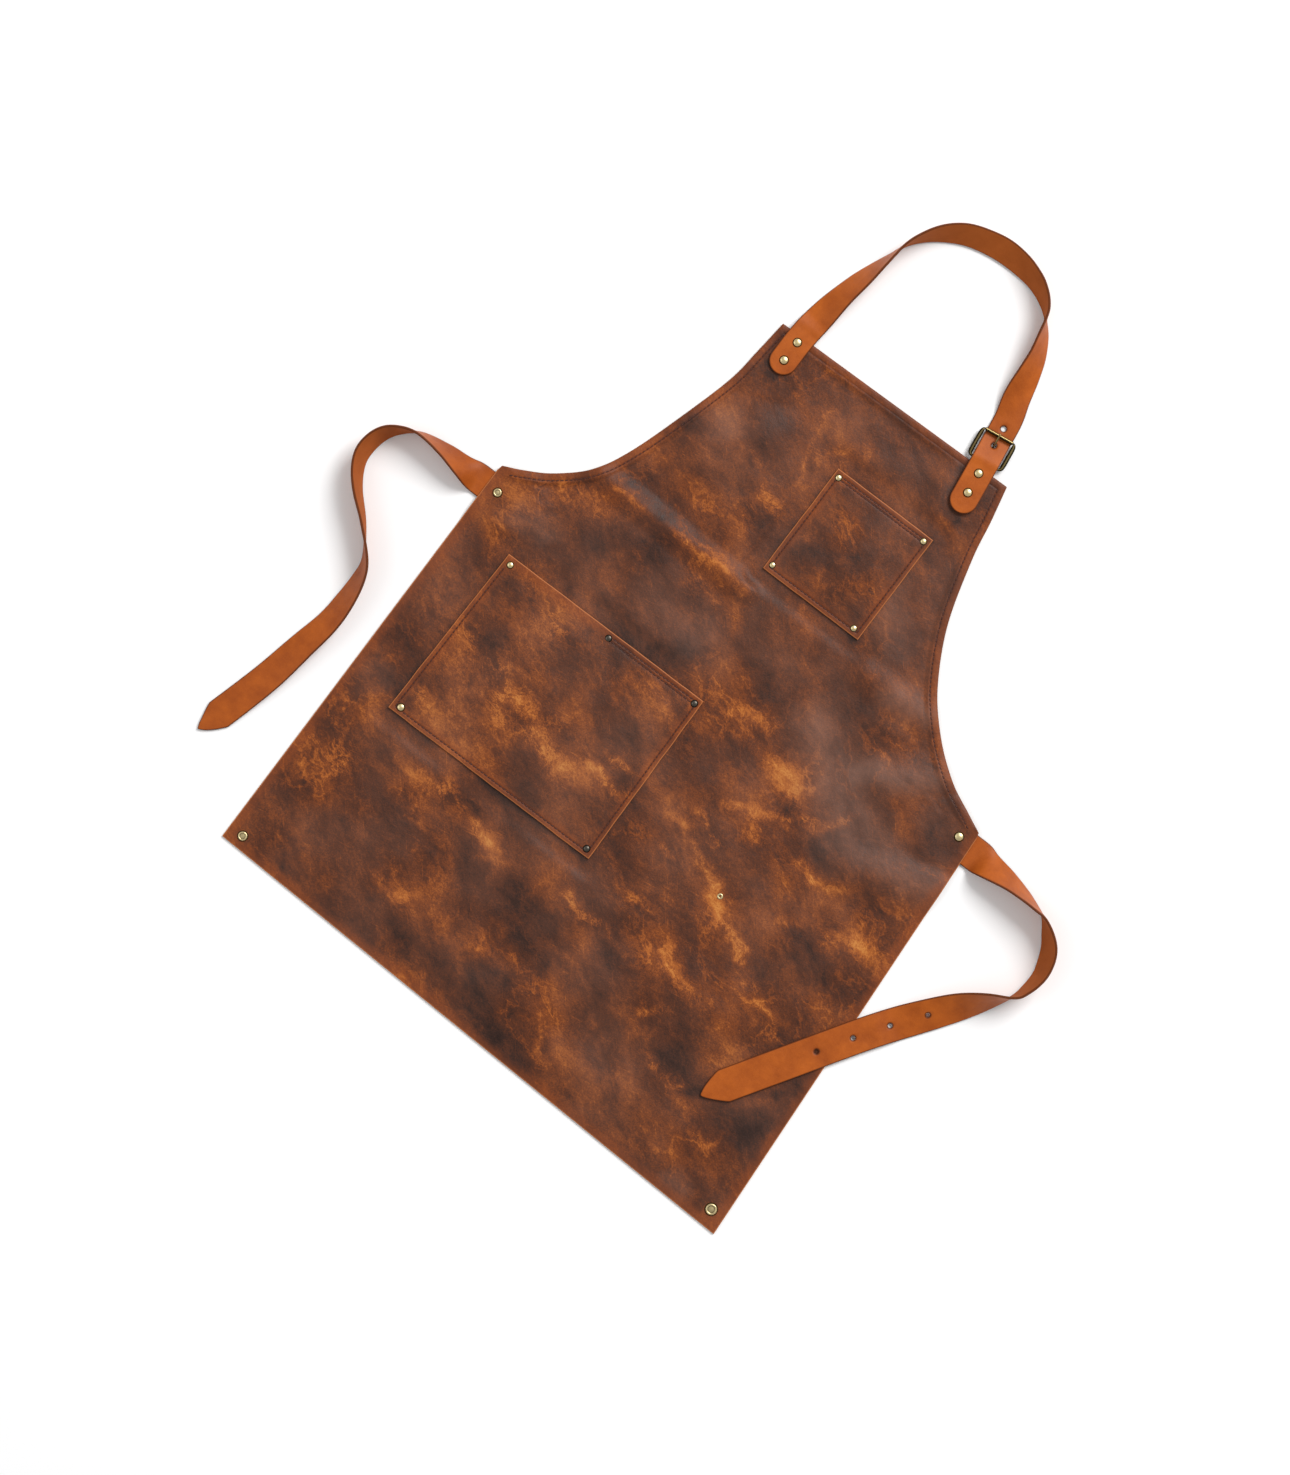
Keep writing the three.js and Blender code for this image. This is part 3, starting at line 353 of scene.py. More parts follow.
@dataclass(frozen=True)
class PullUpHide:
    """Waxed pull-up cowhide: dark where the wax sits, orange where bending has driven it out."""

    name: str = "waxed_pull_up_hide"
    ramp: tuple[tuple[float, str], ...] = (
        (0.0, "#20110c"),
        (0.2, "#351e15"),
        (0.4, "#552b16"),
        (0.56, "#783c17"),
        (0.74, "#a65b22"),
        (1.0, "#c47e3a"),
    )
    # Grey tint of wax bloom, and painted sheen where the light glances off folds
    bloom: str = "#7d5f53"
    rubbed: str = "#8a4218"
    cut_edge: str = "#bd7240"
    # Sizes of the patterns in millimetres. Fibres, pores and scratches are coarser than real ones, so that they show.
    drift: float = 62.5
    patch: float = 52.0
    vein: float = 40.0
    crackle: float = 13.0
    fibre: float = 3.4
    pore: float = 1.6
    wrinkle: float = 15.0
    scratch: float = 1.1
    veined_area: float = 110.0
    nap: float = 1000 / 420
    nap_stops: tuple[tuple[float, str], ...] = ((0.3, "#6d4a30"), (0.7, "#9a7350"))
    seam_shade: str = "#8a5a44"
    # Turn of the skin's lie in degrees, and of the two ways of scratches against it
    lie: float = -27.0
    scratch_turns: tuple[float, float] = (-24, 38)

    def build(self) -> bpy.types.Material:
        """Builds the material.

        Returns:
            The finish for the hide and the pockets.
        """
        material, tree, place = bare_material(self.name)
        marks = {
            name: add_node(tree, "Attribute", {"attribute_name": name}, {}).outputs["Fac"]
            for name in ("tone", "bloom", "rim", "flesh", "seam")
        }
        # The wax moves in cloudy patches, so every pattern is read through a slow drift of the place.
        drift = add_node(
            tree, "TexNoise", {}, {"Vector": place, "Scale": 1000 / self.drift, "Detail": 5.0, "Roughness": 0.55}
        )
        centred = add_node(tree, "VectorMath", MINUS, {0: drift.outputs["Color"], 1: (0.5, 0.5, 0.5)})
        reach = add_node(tree, "VectorMath", {"operation": "SCALE"}, {0: centred, "Scale": 0.04})
        drifted = add_node(tree, "VectorMath", {"operation": "ADD"}, {0: place, 1: reach})
        turn = (0, 0, math.radians(self.lie))
        lie, along = (
            add_node(
                tree, "Mapping", {"vector_type": "TEXTURE"}, {"Vector": source, "Rotation": turn, "Scale": scale}
            )
            for source, scale in ((drifted, (1.8, 1.0, 1.0)), (place, (2.2, 1.0, 1.0)))
        )
        patches, vein_noise, crackle_noise, fibres, pores, where = (
            add_node(
                tree,
                "TexNoise",
                {},
                {"Vector": source, "Scale": 1000 / size, "Detail": detail, "Roughness": rough, "Distortion": bend},
            )
            for source, size, detail, rough, bend in (
                (lie, self.patch, 10.0, 0.62, 0.15),
                (lie, self.vein, 7.0, 0.6, 0.2),
                (lie, self.crackle, 6.0, 0.7, 0.25),
                (along, self.fibre, 4.0, 0.65, 0.0),
                (place, self.pore, 3.0, 0.75, 0.0),
                (place, self.veined_area, 2.0, 0.5, 0.0),
            )
        )
        ridges = []
        for source, width in ((vein_noise, 0.03), (crackle_noise, 0.04)):
            off = add_node(tree, "Math", MINUS, {0: source, 1: 0.5})
            far = add_node(tree, "Math", {"operation": "ABSOLUTE"}, {0: off})
            ends = {0: far, 1: 0.0, 2: width, 3: 1.0, 4: 0.0}
            ridges.append(add_node(tree, "MapRange", SMOOTH, ends))
        where_veins = add_node(tree, "MapRange", SMOOTH, {0: where, 1: 0.42, 2: 0.66, 3: 0.0, 4: 1.0})
        where_crackle = add_node(tree, "MapRange", {}, {0: marks["tone"], 1: 0.0, 2: 1.0, 3: 0.1, 4: 1.0})
        vein_share = add_node(tree, "Math", TIMES, {0: ridges[0], 1: where_veins})
        crackle_share = add_node(tree, "Math", TIMES, {0: ridges[1], 1: where_crackle})
        # Fine straight scratches, two ways, where tools have rubbed the wax away.
        scratches: Any = 0.0
        for angle in (self.lie + turn for turn in self.scratch_turns):
            scored = add_node(
                tree,
                "Mapping",
                {"vector_type": "TEXTURE"},
                {"Vector": place, "Rotation": (0, 0, math.radians(angle)), "Scale": (26.0, 1.0, 1.0)},
            )
            streak = add_node(tree, "TexNoise", {}, {"Vector": scored, "Scale": 1000 / self.scratch, "Detail": 1.0})
            line = add_node(tree, "MapRange", {}, {0: streak, 1: 0.69, 2: 0.76, 3: 0.0, 4: 1.0})
            scratches = add_node(tree, "Math", {"operation": "ADD"}, {0: line, 1: scratches})
        # A stroke also widens the swing between light and dark, so that its edge breaks up.
        amount = add_node(tree, "Math", {"operation": "ABSOLUTE"}, {0: marks["tone"]})
        patch_off = add_node(tree, "Math", MINUS, {0: patches, 1: 0.5})
        broken = add_node(tree, "Math", TIMES, {0: amount, 1: patch_off})
        # Everything is added up to one number, how far the wax has been driven out.
        pulled: Any = 0.42
        for source, weight, centre in (
            (marks["tone"], 0.14, 0.0),
            (broken, 0.7, 0.0),
            (patches, 1.15, 0.5),
            (vein_share, 0.16, 0.0),
            (crackle_share, 0.22, 0.0),
            (scratches, 0.12, 0.0),
            (fibres, 0.28, 0.5),
            (pores, 0.5, 0.5),
        ):
            off = add_node(tree, "Math", MINUS, {0: source, 1: centre})
            pulled = add_node(tree, "Math", SCALED, {0: off, 1: weight, 2: pulled})
        colour = add_node(tree, "ValToRGB", {"stops": self.ramp}, {"Fac": pulled})
        # A grey tint lies on the listed swells and folds as painted sheen, where the light glances off them, and more
        # thinly as wax bloom in the darker patches.
        sheen_and_bloom_patch = add_node(tree, "MapRange", {}, {0: patches, 1: 0.3, 2: 0.62, 3: 0.25, 4: 0.8})
        thin_bloom = add_node(tree, "MapRange", {}, {0: where, 1: 0.6, 2: 0.36, 3: 0.0, 4: 0.25})
        all_sheen_and_bloom = add_node(tree, "Math", {"operation": "MAXIMUM"}, {0: marks["bloom"], 1: thin_bloom})
        sheen_and_bloom_share = add_node(tree, "Math", TIMES, {0: all_sheen_and_bloom, 1: sheen_and_bloom_patch})
        # Raw edges are rubbed red-brown for about a finger's width, and pale at the very cut.
        uneven = add_node(tree, "Math", SCALED, {0: patches, 1: -22.0, 2: marks["rim"]})
        rubbed, cut, seam = (
            add_node(tree, "MapRange", SMOOTH, {0: source, 1: low, 2: high, 3: most, 4: 0.0})
            for source, low, high, most in (
                (uneven, -8.0, 3.0, 0.36),
                (marks["rim"], 0.2, 1.4, 0.85),
                (marks["seam"], 0.0, 1.6, 0.35),
            )
        )
        for share, tint, blend in (
            (sheen_and_bloom_share, self.bloom, "MIX"),
            (rubbed, self.rubbed, "MIX"),
            (cut, self.cut_edge, "MIX"),
            (seam, self.seam_shade, "MULTIPLY"),
        ):
            links = {0: share, 6: colour, 7: linear(tint)}
            colour = add_node(tree, "Mix", {"data_type": "RGBA", "blend_type": blend}, links).outputs[2]
        # The flesh side shows a brushed nap.
        nap = add_node(tree, "TexNoise", {}, {"Vector": place, "Scale": 1000 / self.nap, "Detail": 5.0})
        nap_colour = add_node(tree, "ValToRGB", {"stops": self.nap_stops}, {"Fac": nap})
        face = add_node(tree, "Mix", MIXED, {0: marks["flesh"], 6: colour, 7: nap_colour}).outputs[2]
        gloss = add_node(tree, "MapRange", {}, {0: pulled, 1: 0.1, 2: 0.9, 3: 0.44, 4: 0.62})
        dull = add_node(
            tree, "Math", {"operation": "MULTIPLY_ADD", "use_clamp": True}, {0: marks["flesh"], 1: 0.4, 2: gloss}
        )
        grain = add_node(tree, "TexVoronoi", {}, {"Vector": place, "Scale": 1000 / self.pore})
        wrinkles = add_node(
            tree, "TexNoise", {}, {"Vector": place, "Scale": 1000 / self.wrinkle, "Detail": 4.0, "Roughness": 0.55}
        )
        pits = add_node(tree, "Bump", {}, {"Height": grain, "Strength": 0.3, "Distance": 0.0003})
        normal = add_node(tree, "Bump", {}, {"Height": wrinkles, "Strength": 0.5, "Distance": 0.0016, "Normal": pits})
        shader = add_node(
            tree,
            "BsdfPrincipled",
            {},
            {"Base Color": face, "Roughness": dull, "Normal": normal, "IOR": 1.45, "Specular IOR Level": 0.27},
        )
        add_node(tree, "OutputMaterial", {}, {"Surface": shader})
        return material


@dataclass(frozen=True)
class StrapLeather:
    """Vegetable-tanned strap leather: smooth orange grain, duller flesh side, dark burnished edges."""

    name: str = "tanned_strap_leather"
    pale: str = "#bb5f1a"
    deep: str = "#8c3f0c"
    flesh_pale: str = "#ad5a22"
    flesh_deep: str = "#944813"
    edge: str = "#4e240d"
    # Sizes in millimetres. The pores are coarser than real ones, so that they show.
    mottle: float = 22.0
    pore: float = 1.3

    def build(self) -> bpy.types.Material:
        """Builds the material.

        Returns:
            The finish for the straps and the chape.
        """
        material, tree, place = bare_material(self.name)
        rim, flesh, tone = (
            add_node(tree, "Attribute", {"attribute_name": name}, {}).outputs["Fac"]
            for name in ("rim", "flesh", "tone")
        )
        cloud = add_node(
            tree, "TexNoise", {}, {"Vector": place, "Scale": 1000 / self.mottle, "Detail": 8.0, "Roughness": 0.62}
        )
        pores = add_node(
            tree, "TexNoise", {}, {"Vector": place, "Scale": 1000 / self.pore, "Detail": 3.0, "Roughness": 0.65}
        )
        mixed = add_node(tree, "Math", SCALED, {0: pores, 1: 0.35, 2: tone})
        spread = add_node(tree, "Math", SCALED, {0: cloud, 1: 1.3, 2: mixed})
        share = add_node(tree, "MapRange", {}, {0: spread, 1: 0.4, 2: 1.25, 3: 0.0, 4: 1.0})
        grain = add_node(tree, "Mix", MIXED, {0: share, 6: linear(self.deep), 7: linear(self.pale)}).outputs[2]
        back = add_node(
            tree, "Mix", MIXED, {0: share, 6: linear(self.flesh_deep), 7: linear(self.flesh_pale)}
        ).outputs[2]
        face = add_node(tree, "Mix", MIXED, {0: flesh, 6: grain, 7: back}).outputs[2]
        edge = add_node(tree, "MapRange", SMOOTH, {0: rim, 1: 0.3, 2: 1.5, 3: 0.85, 4: 0.0})
        colour = add_node(tree, "Mix", MIXED, {0: edge, 6: face, 7: linear(self.edge)}).outputs[2]
        dull = add_node(tree, "MapRange", {}, {0: flesh, 1: 0.0, 2: 1.0, 3: 0.5, 4: 0.85})
        pits = add_node(tree, "Bump", {}, {"Height": pores, "Strength": 0.3, "Distance": 0.0003})
        bump = add_node(tree, "Bump", {}, {"Height": cloud, "Strength": 0.35, "Distance": 0.002, "Normal": pits})
        shader = add_node(
            tree,
            "BsdfPrincipled",
            {},
            {"Base Color": colour, "Roughness": dull, "Normal": bump, "IOR": 1.48, "Specular IOR Level": 0.22},
        )
        add_node(tree, "OutputMaterial", {}, {"Surface": shader})
        return material


@dataclass(frozen=True)
class AgedBrass:
    """Stamped and tumbled brass: bright where it is rubbed, brown patina in the hollows; on the buckle the same
    attribute also carries painted highlights.
    """

    name: str = "aged_brass"
    bright: str = "#e6d3a0"
    patina: str = "#3a2a12"
    roughness: float = 0.34
    # Size of the specks in millimetres
    speck: float = 0.9

    def build(self) -> bpy.types.Material:
        """Builds the material.

        Returns:
            The finish for metal parts.
        """
        material, tree, place = bare_material(self.name)
        hollow = add_node(tree, "Attribute", {"attribute_name": "hollow"}, {}).outputs["Fac"]
        specks = add_node(tree, "TexNoise", {}, {"Vector": place, "Scale": 1000 / self.speck, "Detail": 4.0})
        dirt = add_node(tree, "MapRange", {}, {0: specks, 1: 0.45, 2: 0.75, 3: 0.0, 4: 0.25})
        share = add_node(tree, "Math", {"operation": "ADD", "use_clamp": True}, {0: dirt, 1: hollow})
        colour = add_node(tree, "Mix", MIXED, {0: share, 6: linear(self.bright), 7: linear(self.patina)}).outputs[2]
        dull = add_node(tree, "Math", SCALED, {0: share, 1: 0.25, 2: self.roughness})
        bump = add_node(tree, "Bump", {}, {"Height": specks, "Strength": 0.1, "Distance": 0.00005})
        shader = add_node(
            tree,
            "BsdfPrincipled",
            {},
            {"Base Color": colour, "Roughness": dull, "Normal": bump, "Metallic": 1.0},
        )
        add_node(tree, "OutputMaterial", {}, {"Surface": shader})
        return material


@dataclass(frozen=True)
class WaxedThread:
    """Waxed linen thread: twisted, dark where the wax has taken up dye."""

    name: str = "waxed_thread"
    pale: str = "#54220f"
    deep: str = "#260c06"
    # Size of the twisted strands in millimetres
    twist: float = 0.6

    def build(self) -> bpy.types.Material:
        """Builds the material.

        Returns:
            The finish for the stitches.
        """
        material, tree, place = bare_material(self.name)
        strands = add_node(tree, "TexNoise", {}, {"Vector": place, "Scale": 1000 / self.twist, "Detail": 2.0})
        colour = add_node(tree, "Mix", MIXED, {0: strands, 6: linear(self.deep), 7: linear(self.pale)}).outputs[2]
        bump = add_node(tree, "Bump", {}, {"Height": strands, "Strength": 0.4, "Distance": 0.0002})
        shader = add_node(tree, "BsdfPrincipled", {}, {"Base Color": colour, "Roughness": 0.6, "Normal": bump})
        add_node(tree, "OutputMaterial", {}, {"Surface": shader})
        return material


@dataclass(frozen=True)
class StudioPaper:
    """Seamless pale paper under the apron."""

    name: str = "studio_paper"
    colour: str = "#fafafa"
    roughness: float = 0.9

    def build(self) -> bpy.types.Material:
        """Builds the material.

        Returns:
            The floor's finish.
        """
        material = bpy.data.materials.new(self.name)
        material.use_nodes = True
        shader = material.node_tree.nodes["Principled BSDF"]
        shader.inputs["Base Color"].default_value = linear(self.colour)
        shader.inputs["Roughness"].default_value = self.roughness
        return material


# The hide


@dataclass(frozen=True)
class HideCut:
    """Plan of the hide, how thick it is, and how it lies."""

    bib_left: tuple[float, float] = (-163, 286)
    bib_right: tuple[float, float] = (114, 291)
    waist_left: tuple[float, float] = (-302, 2.3)
    waist_right: tuple[float, float] = (302, -2.3)
    hem_left: tuple[float, float] = (-300, -461)
    hem_right: tuple[float, float] = (332, -481)
    turn: float = 9.0
    turn_ease: float = 4.0
    seam: float = 7.5
    neck_width: float = 29.0
    # How far the neck strap's ends reach below the upper rivets, left and right, and how far the lower rivets do
    neck_tab: float = 37.0
    leg_tab: float = 44.0
    rivet_drop: float = 22.0
    # Holes in the strap's right leg, from its upper rivet; the prong stands in the first
    leg_holes: tuple[float, float] = (32.35, 51.85)
    buckle_lean: float = 7.8
    hem_rivets: tuple[tuple[float, float], ...] = ((-283.5, -448.5), (315, -462.5))
    eyelet: tuple[float, float] = (133, -208)
    # How far the upper neck rivets stand in from the bib's left and right corners and below its edge
    neck_in: tuple[float, float] = (23, 31)
    neck_below: float = 7.0
    # How far the hide takes to come down from what it lies on, and where a pocket begins and ends to calm it
    drape: float = 24.0
    margin: float = 8.0
    calm_reach: tuple[float, float] = (12, 24)
    # How far beyond its edge a strap is still held up by the hide
    overhang: float = 10.0
    # Middle, foot, width and height of the chest pocket and of the lap pocket
    pockets: tuple[tuple[float, float, float, float], ...] = ((28, 79, 119, 125), (-120, -258, 251, 195))
    # Share of the rise, and shares of the left and right steps inwards
    armholes: tuple[tuple[float, float, float], ...] = (
        (0, 0, 0),
        (0.035, 0.15, 0.115),
        (0.09, 0.335, 0.288),
        (0.185, 0.541, 0.475),
        (0.31, 0.676, 0.645),
        (0.5, 0.807, 0.805),
        (0.73, 0.939, 0.913),
        (0.87, 0.974, 0.955),
        (1, 1, 1),
    )
    # Folds from one point to another, with their height and spread
    folds: tuple[tuple[float, float, float, float, float, float], ...] = (
        (-217.4, 55.3, -30.2, 52.4, 4.8, 20.0),
        (114.8, 55.3, 187.2, 58.2, 4.2, 24.0),
        (190.3, -20.4, 235.6, 14.6, 5.4, 32.0),
        (220.5, -109.1, 299.0, -72.8, 6.0, 36.0),
        (-151.0, 139.7, -117.8, 183.3, 4.8, 52.0),
        (90.6, -349.2, 187.2, -305.6, 3.6, 64.0),
    )

    @cached_property
    def neck_left(self) -> np.ndarray:
        """Place of the upper left neck rivet."""
        return np.array([self.bib_left[0] + self.neck_in[0], self.bib_left[1] - self.neck_below])

    @cached_property
    def neck_right(self) -> np.ndarray:
        """Place of the upper right neck rivet."""
        return np.array([self.bib_right[0] - self.neck_in[1], self.bib_right[1] - self.neck_below])

    @cached_property
    def leg_up(self) -> np.ndarray:
        """Direction of the neck strap's right leg, away from the bib."""
        lean = math.radians(self.buckle_lean)
        return np.array([-math.sin(lean), math.cos(lean)])

    @cached_property
    def leg_right(self) -> np.ndarray:
        """Direction to the right of that leg."""
        return np.array([self.leg_up[1], -self.leg_up[0]])

    def on_leg(self, along: float, aside: float = 0.0) -> np.ndarray:
        """Point on the neck strap's right leg, so far up from its upper rivet and so far to the right."""
        return self.neck_right + self.leg_up * along + self.leg_right * aside

    def armhole(self, left: bool, shares: np.ndarray) -> np.ndarray:
        """Points of an armhole from the waist to the bib.

        Args:
            left: Whether it is the left one.
            shares: Places along it, from 0 to 1.

        Returns:
            The points in plan.
        """
        low = np.array(self.waist_left if left else self.waist_right)
        high = np.array(self.bib_left if left else self.bib_right)
        table = np.array(self.armholes)
        inward = table[:, 1 if left else 2]
        stations = np.column_stack([low[0] + (high[0] - low[0]) * inward, low[1] + (high[1] - low[1]) * table[:, 0]])
        return spline(stations, shares, False)

    def bib_line(self, count: int) -> np.ndarray:
        """Line from the left waist corner over the bib to the right one, with so many points on each armhole."""
        shares = np.linspace(0, 1, count)
        return np.vstack([self.armhole(True, shares), self.armhole(False, shares)[::-1]])

    @cached_property
    def bib_edge(self) -> np.ndarray:
        """That line, as fine as distances from it need."""
        return self.bib_line(41)

    @cached_property
    def raw_edge(self) -> np.ndarray:
        """Line down the right side, along the hem and up the left side."""
        return np.array([self.waist_right, self.hem_right, self.hem_left, self.waist_left], float)

    @cached_property
    def waist_rivets(self) -> tuple[np.ndarray, np.ndarray]:
        """Places of the left and right waist rivets."""
        left = np.array([self.waist_left[0] + 14, self.waist_left[1] - 23.5])
        right = np.array([self.waist_right[0] - 15, self.waist_right[1] - 14])
        return left, right

    def inside(self, points: np.ndarray) -> np.ndarray:
        """Whether points are over the hide.

        Args:
            points: Points in plan.

        Returns:
            True or False for each point.
        """
        loop = np.vstack([self.bib_edge, self.raw_edge[1:3]])
        found = np.zeros(len(points), bool)
        for a, b in zip(loop, np.roll(loop, -1, axis=0)):
            crosses = (a[1] > points[:, 1]) != (b[1] > points[:, 1])
            rise = b[1] - a[1] if abs(b[1] - a[1]) > 1e-9 else 1e-9
            found ^= crosses & (points[:, 0] < a[0] + (points[:, 1] - a[1]) / rise * (b[0] - a[0]))
        return found

    def turned(self, points: np.ndarray) -> np.ndarray:
        """Distances of points from the edge that is turned under."""
        return distance_to_line(points, self.bib_edge[3:-3])

    def thickness(self, points: np.ndarray) -> np.ndarray:
        """Thickness of the hide at points: twice as much where its edge is turned under."""
        return HIDE + HIDE * (1 - smoothstep(self.turned(points), self.turn, self.turn + self.turn_ease))

    def calm(self, points: np.ndarray) -> np.ndarray:
        """Share of its relief that the hide keeps near the pockets, which hold it flat.

        Args:
            points: Points in plan.

        Returns:
            A share for each point.
        """
        away = np.full(len(points), np.inf)
        for x, y, width, height in self.pockets:
            dx = np.maximum(np.abs(points[:, 0] - x) - width / 2, 0)
            dy = np.maximum(np.abs(points[:, 1] - y - height / 2) - height / 2, 0)
            away = np.minimum(away, np.hypot(dx, dy))
        return smoothstep(away, *self.calm_reach)

    def lift(self, points: np.ndarray) -> np.ndarray:
        """Height of the hide's underside: it climbs over straps and rises in folds.

        Args:
            points: Points in plan.

        Returns:
            One height for each point.
        """
        left, right = self.waist_rivets
        tab = np.array([0, self.neck_tab])
        # What lies under the hide or on its turned edge: both ends, half the width, and the height if it is a strap
        pads = (
            (self.neck_left - tab, self.neck_left, self.neck_width / 2, None),
            (self.on_leg(-self.leg_tab), self.on_leg(0), self.neck_width / 2, None),
            (left + (14.41, 0), left - (22.27, 0), 15.5, STRAP_HIDE + GAP),
            (right - (17.64, 4.34), right + (24.99, -4.34), 17.0, STRAP_HIDE + GAP),
        )
        lift = np.zeros(len(points))
        thickness = self.thickness(points)
        for start, end, half, height in pads:
            away = distance_to_segment(points, start, end) - half - self.margin
            rise = np.maximum(0, HIDE * 2 - thickness) if height is None else height
            lift = np.maximum(lift, rise * (1 - smoothstep(away, 0, self.drape)))
        for x0, y0, x1, y1, height, spread in self.folds:
            away = distance_to_segment(points, (x0, y0), (x1, y1))
            lift = np.maximum(lift, height * (1 - smoothstep(away, 0, spread)))
        return lift * self.calm(points)

    def top(self, points: np.ndarray) -> np.ndarray:
        """Height of the hide's upper face at points."""
        return self.lift(points) + self.thickness(points)

    def ground(self, points: np.ndarray) -> np.ndarray:
        """Height at which a strap can lie: on the hide where that is near, else on the table.

        Args:
            points: Points in plan.

        Returns:
            One height for each point.
        """
        loop = np.vstack([self.bib_edge, self.raw_edge[1:3], self.bib_edge[:1]])
        near = self.inside(points) | (distance_to_line(points, loop) < self.overhang)
        height = np.zeros(len(points))
        if near.any():
            height[near] = self.top(points[near]) + GAP
        return height


def strokes(
    points: np.ndarray, table: Sequence[tuple[float, ...]], stray: float = 10.0, slim: float = 1.0
) -> np.ndarray:
    """Adds up soft strokes with wandering edges.

    Args:
        points: Points in plan.
        table: Points of each dot or line of strokes, then its width and tone.
        stray: How far their edges wander.
        slim: Share of their widths that the light strokes keep.

    Returns:
        The sum at each point.
    """
    total = np.zeros(len(points))
    wander = np.column_stack([relief(points, 34, 4), relief(points + 500, 34, 4)]) * stray
    for *spots, width, tone in table:
        line = np.array(spots, float).reshape(-1, 2)
        reach = max(3.2, slim * width) if tone > 0 and slim < 1 else width
        for start, end in zip(line, line[1:] if len(line) > 1 else line):
            away = distance_to_segment(points + wander, start, end)
            total += tone * np.exp(-((away / reach) ** 2))
    return np.clip(total, -1.3, 1.3)


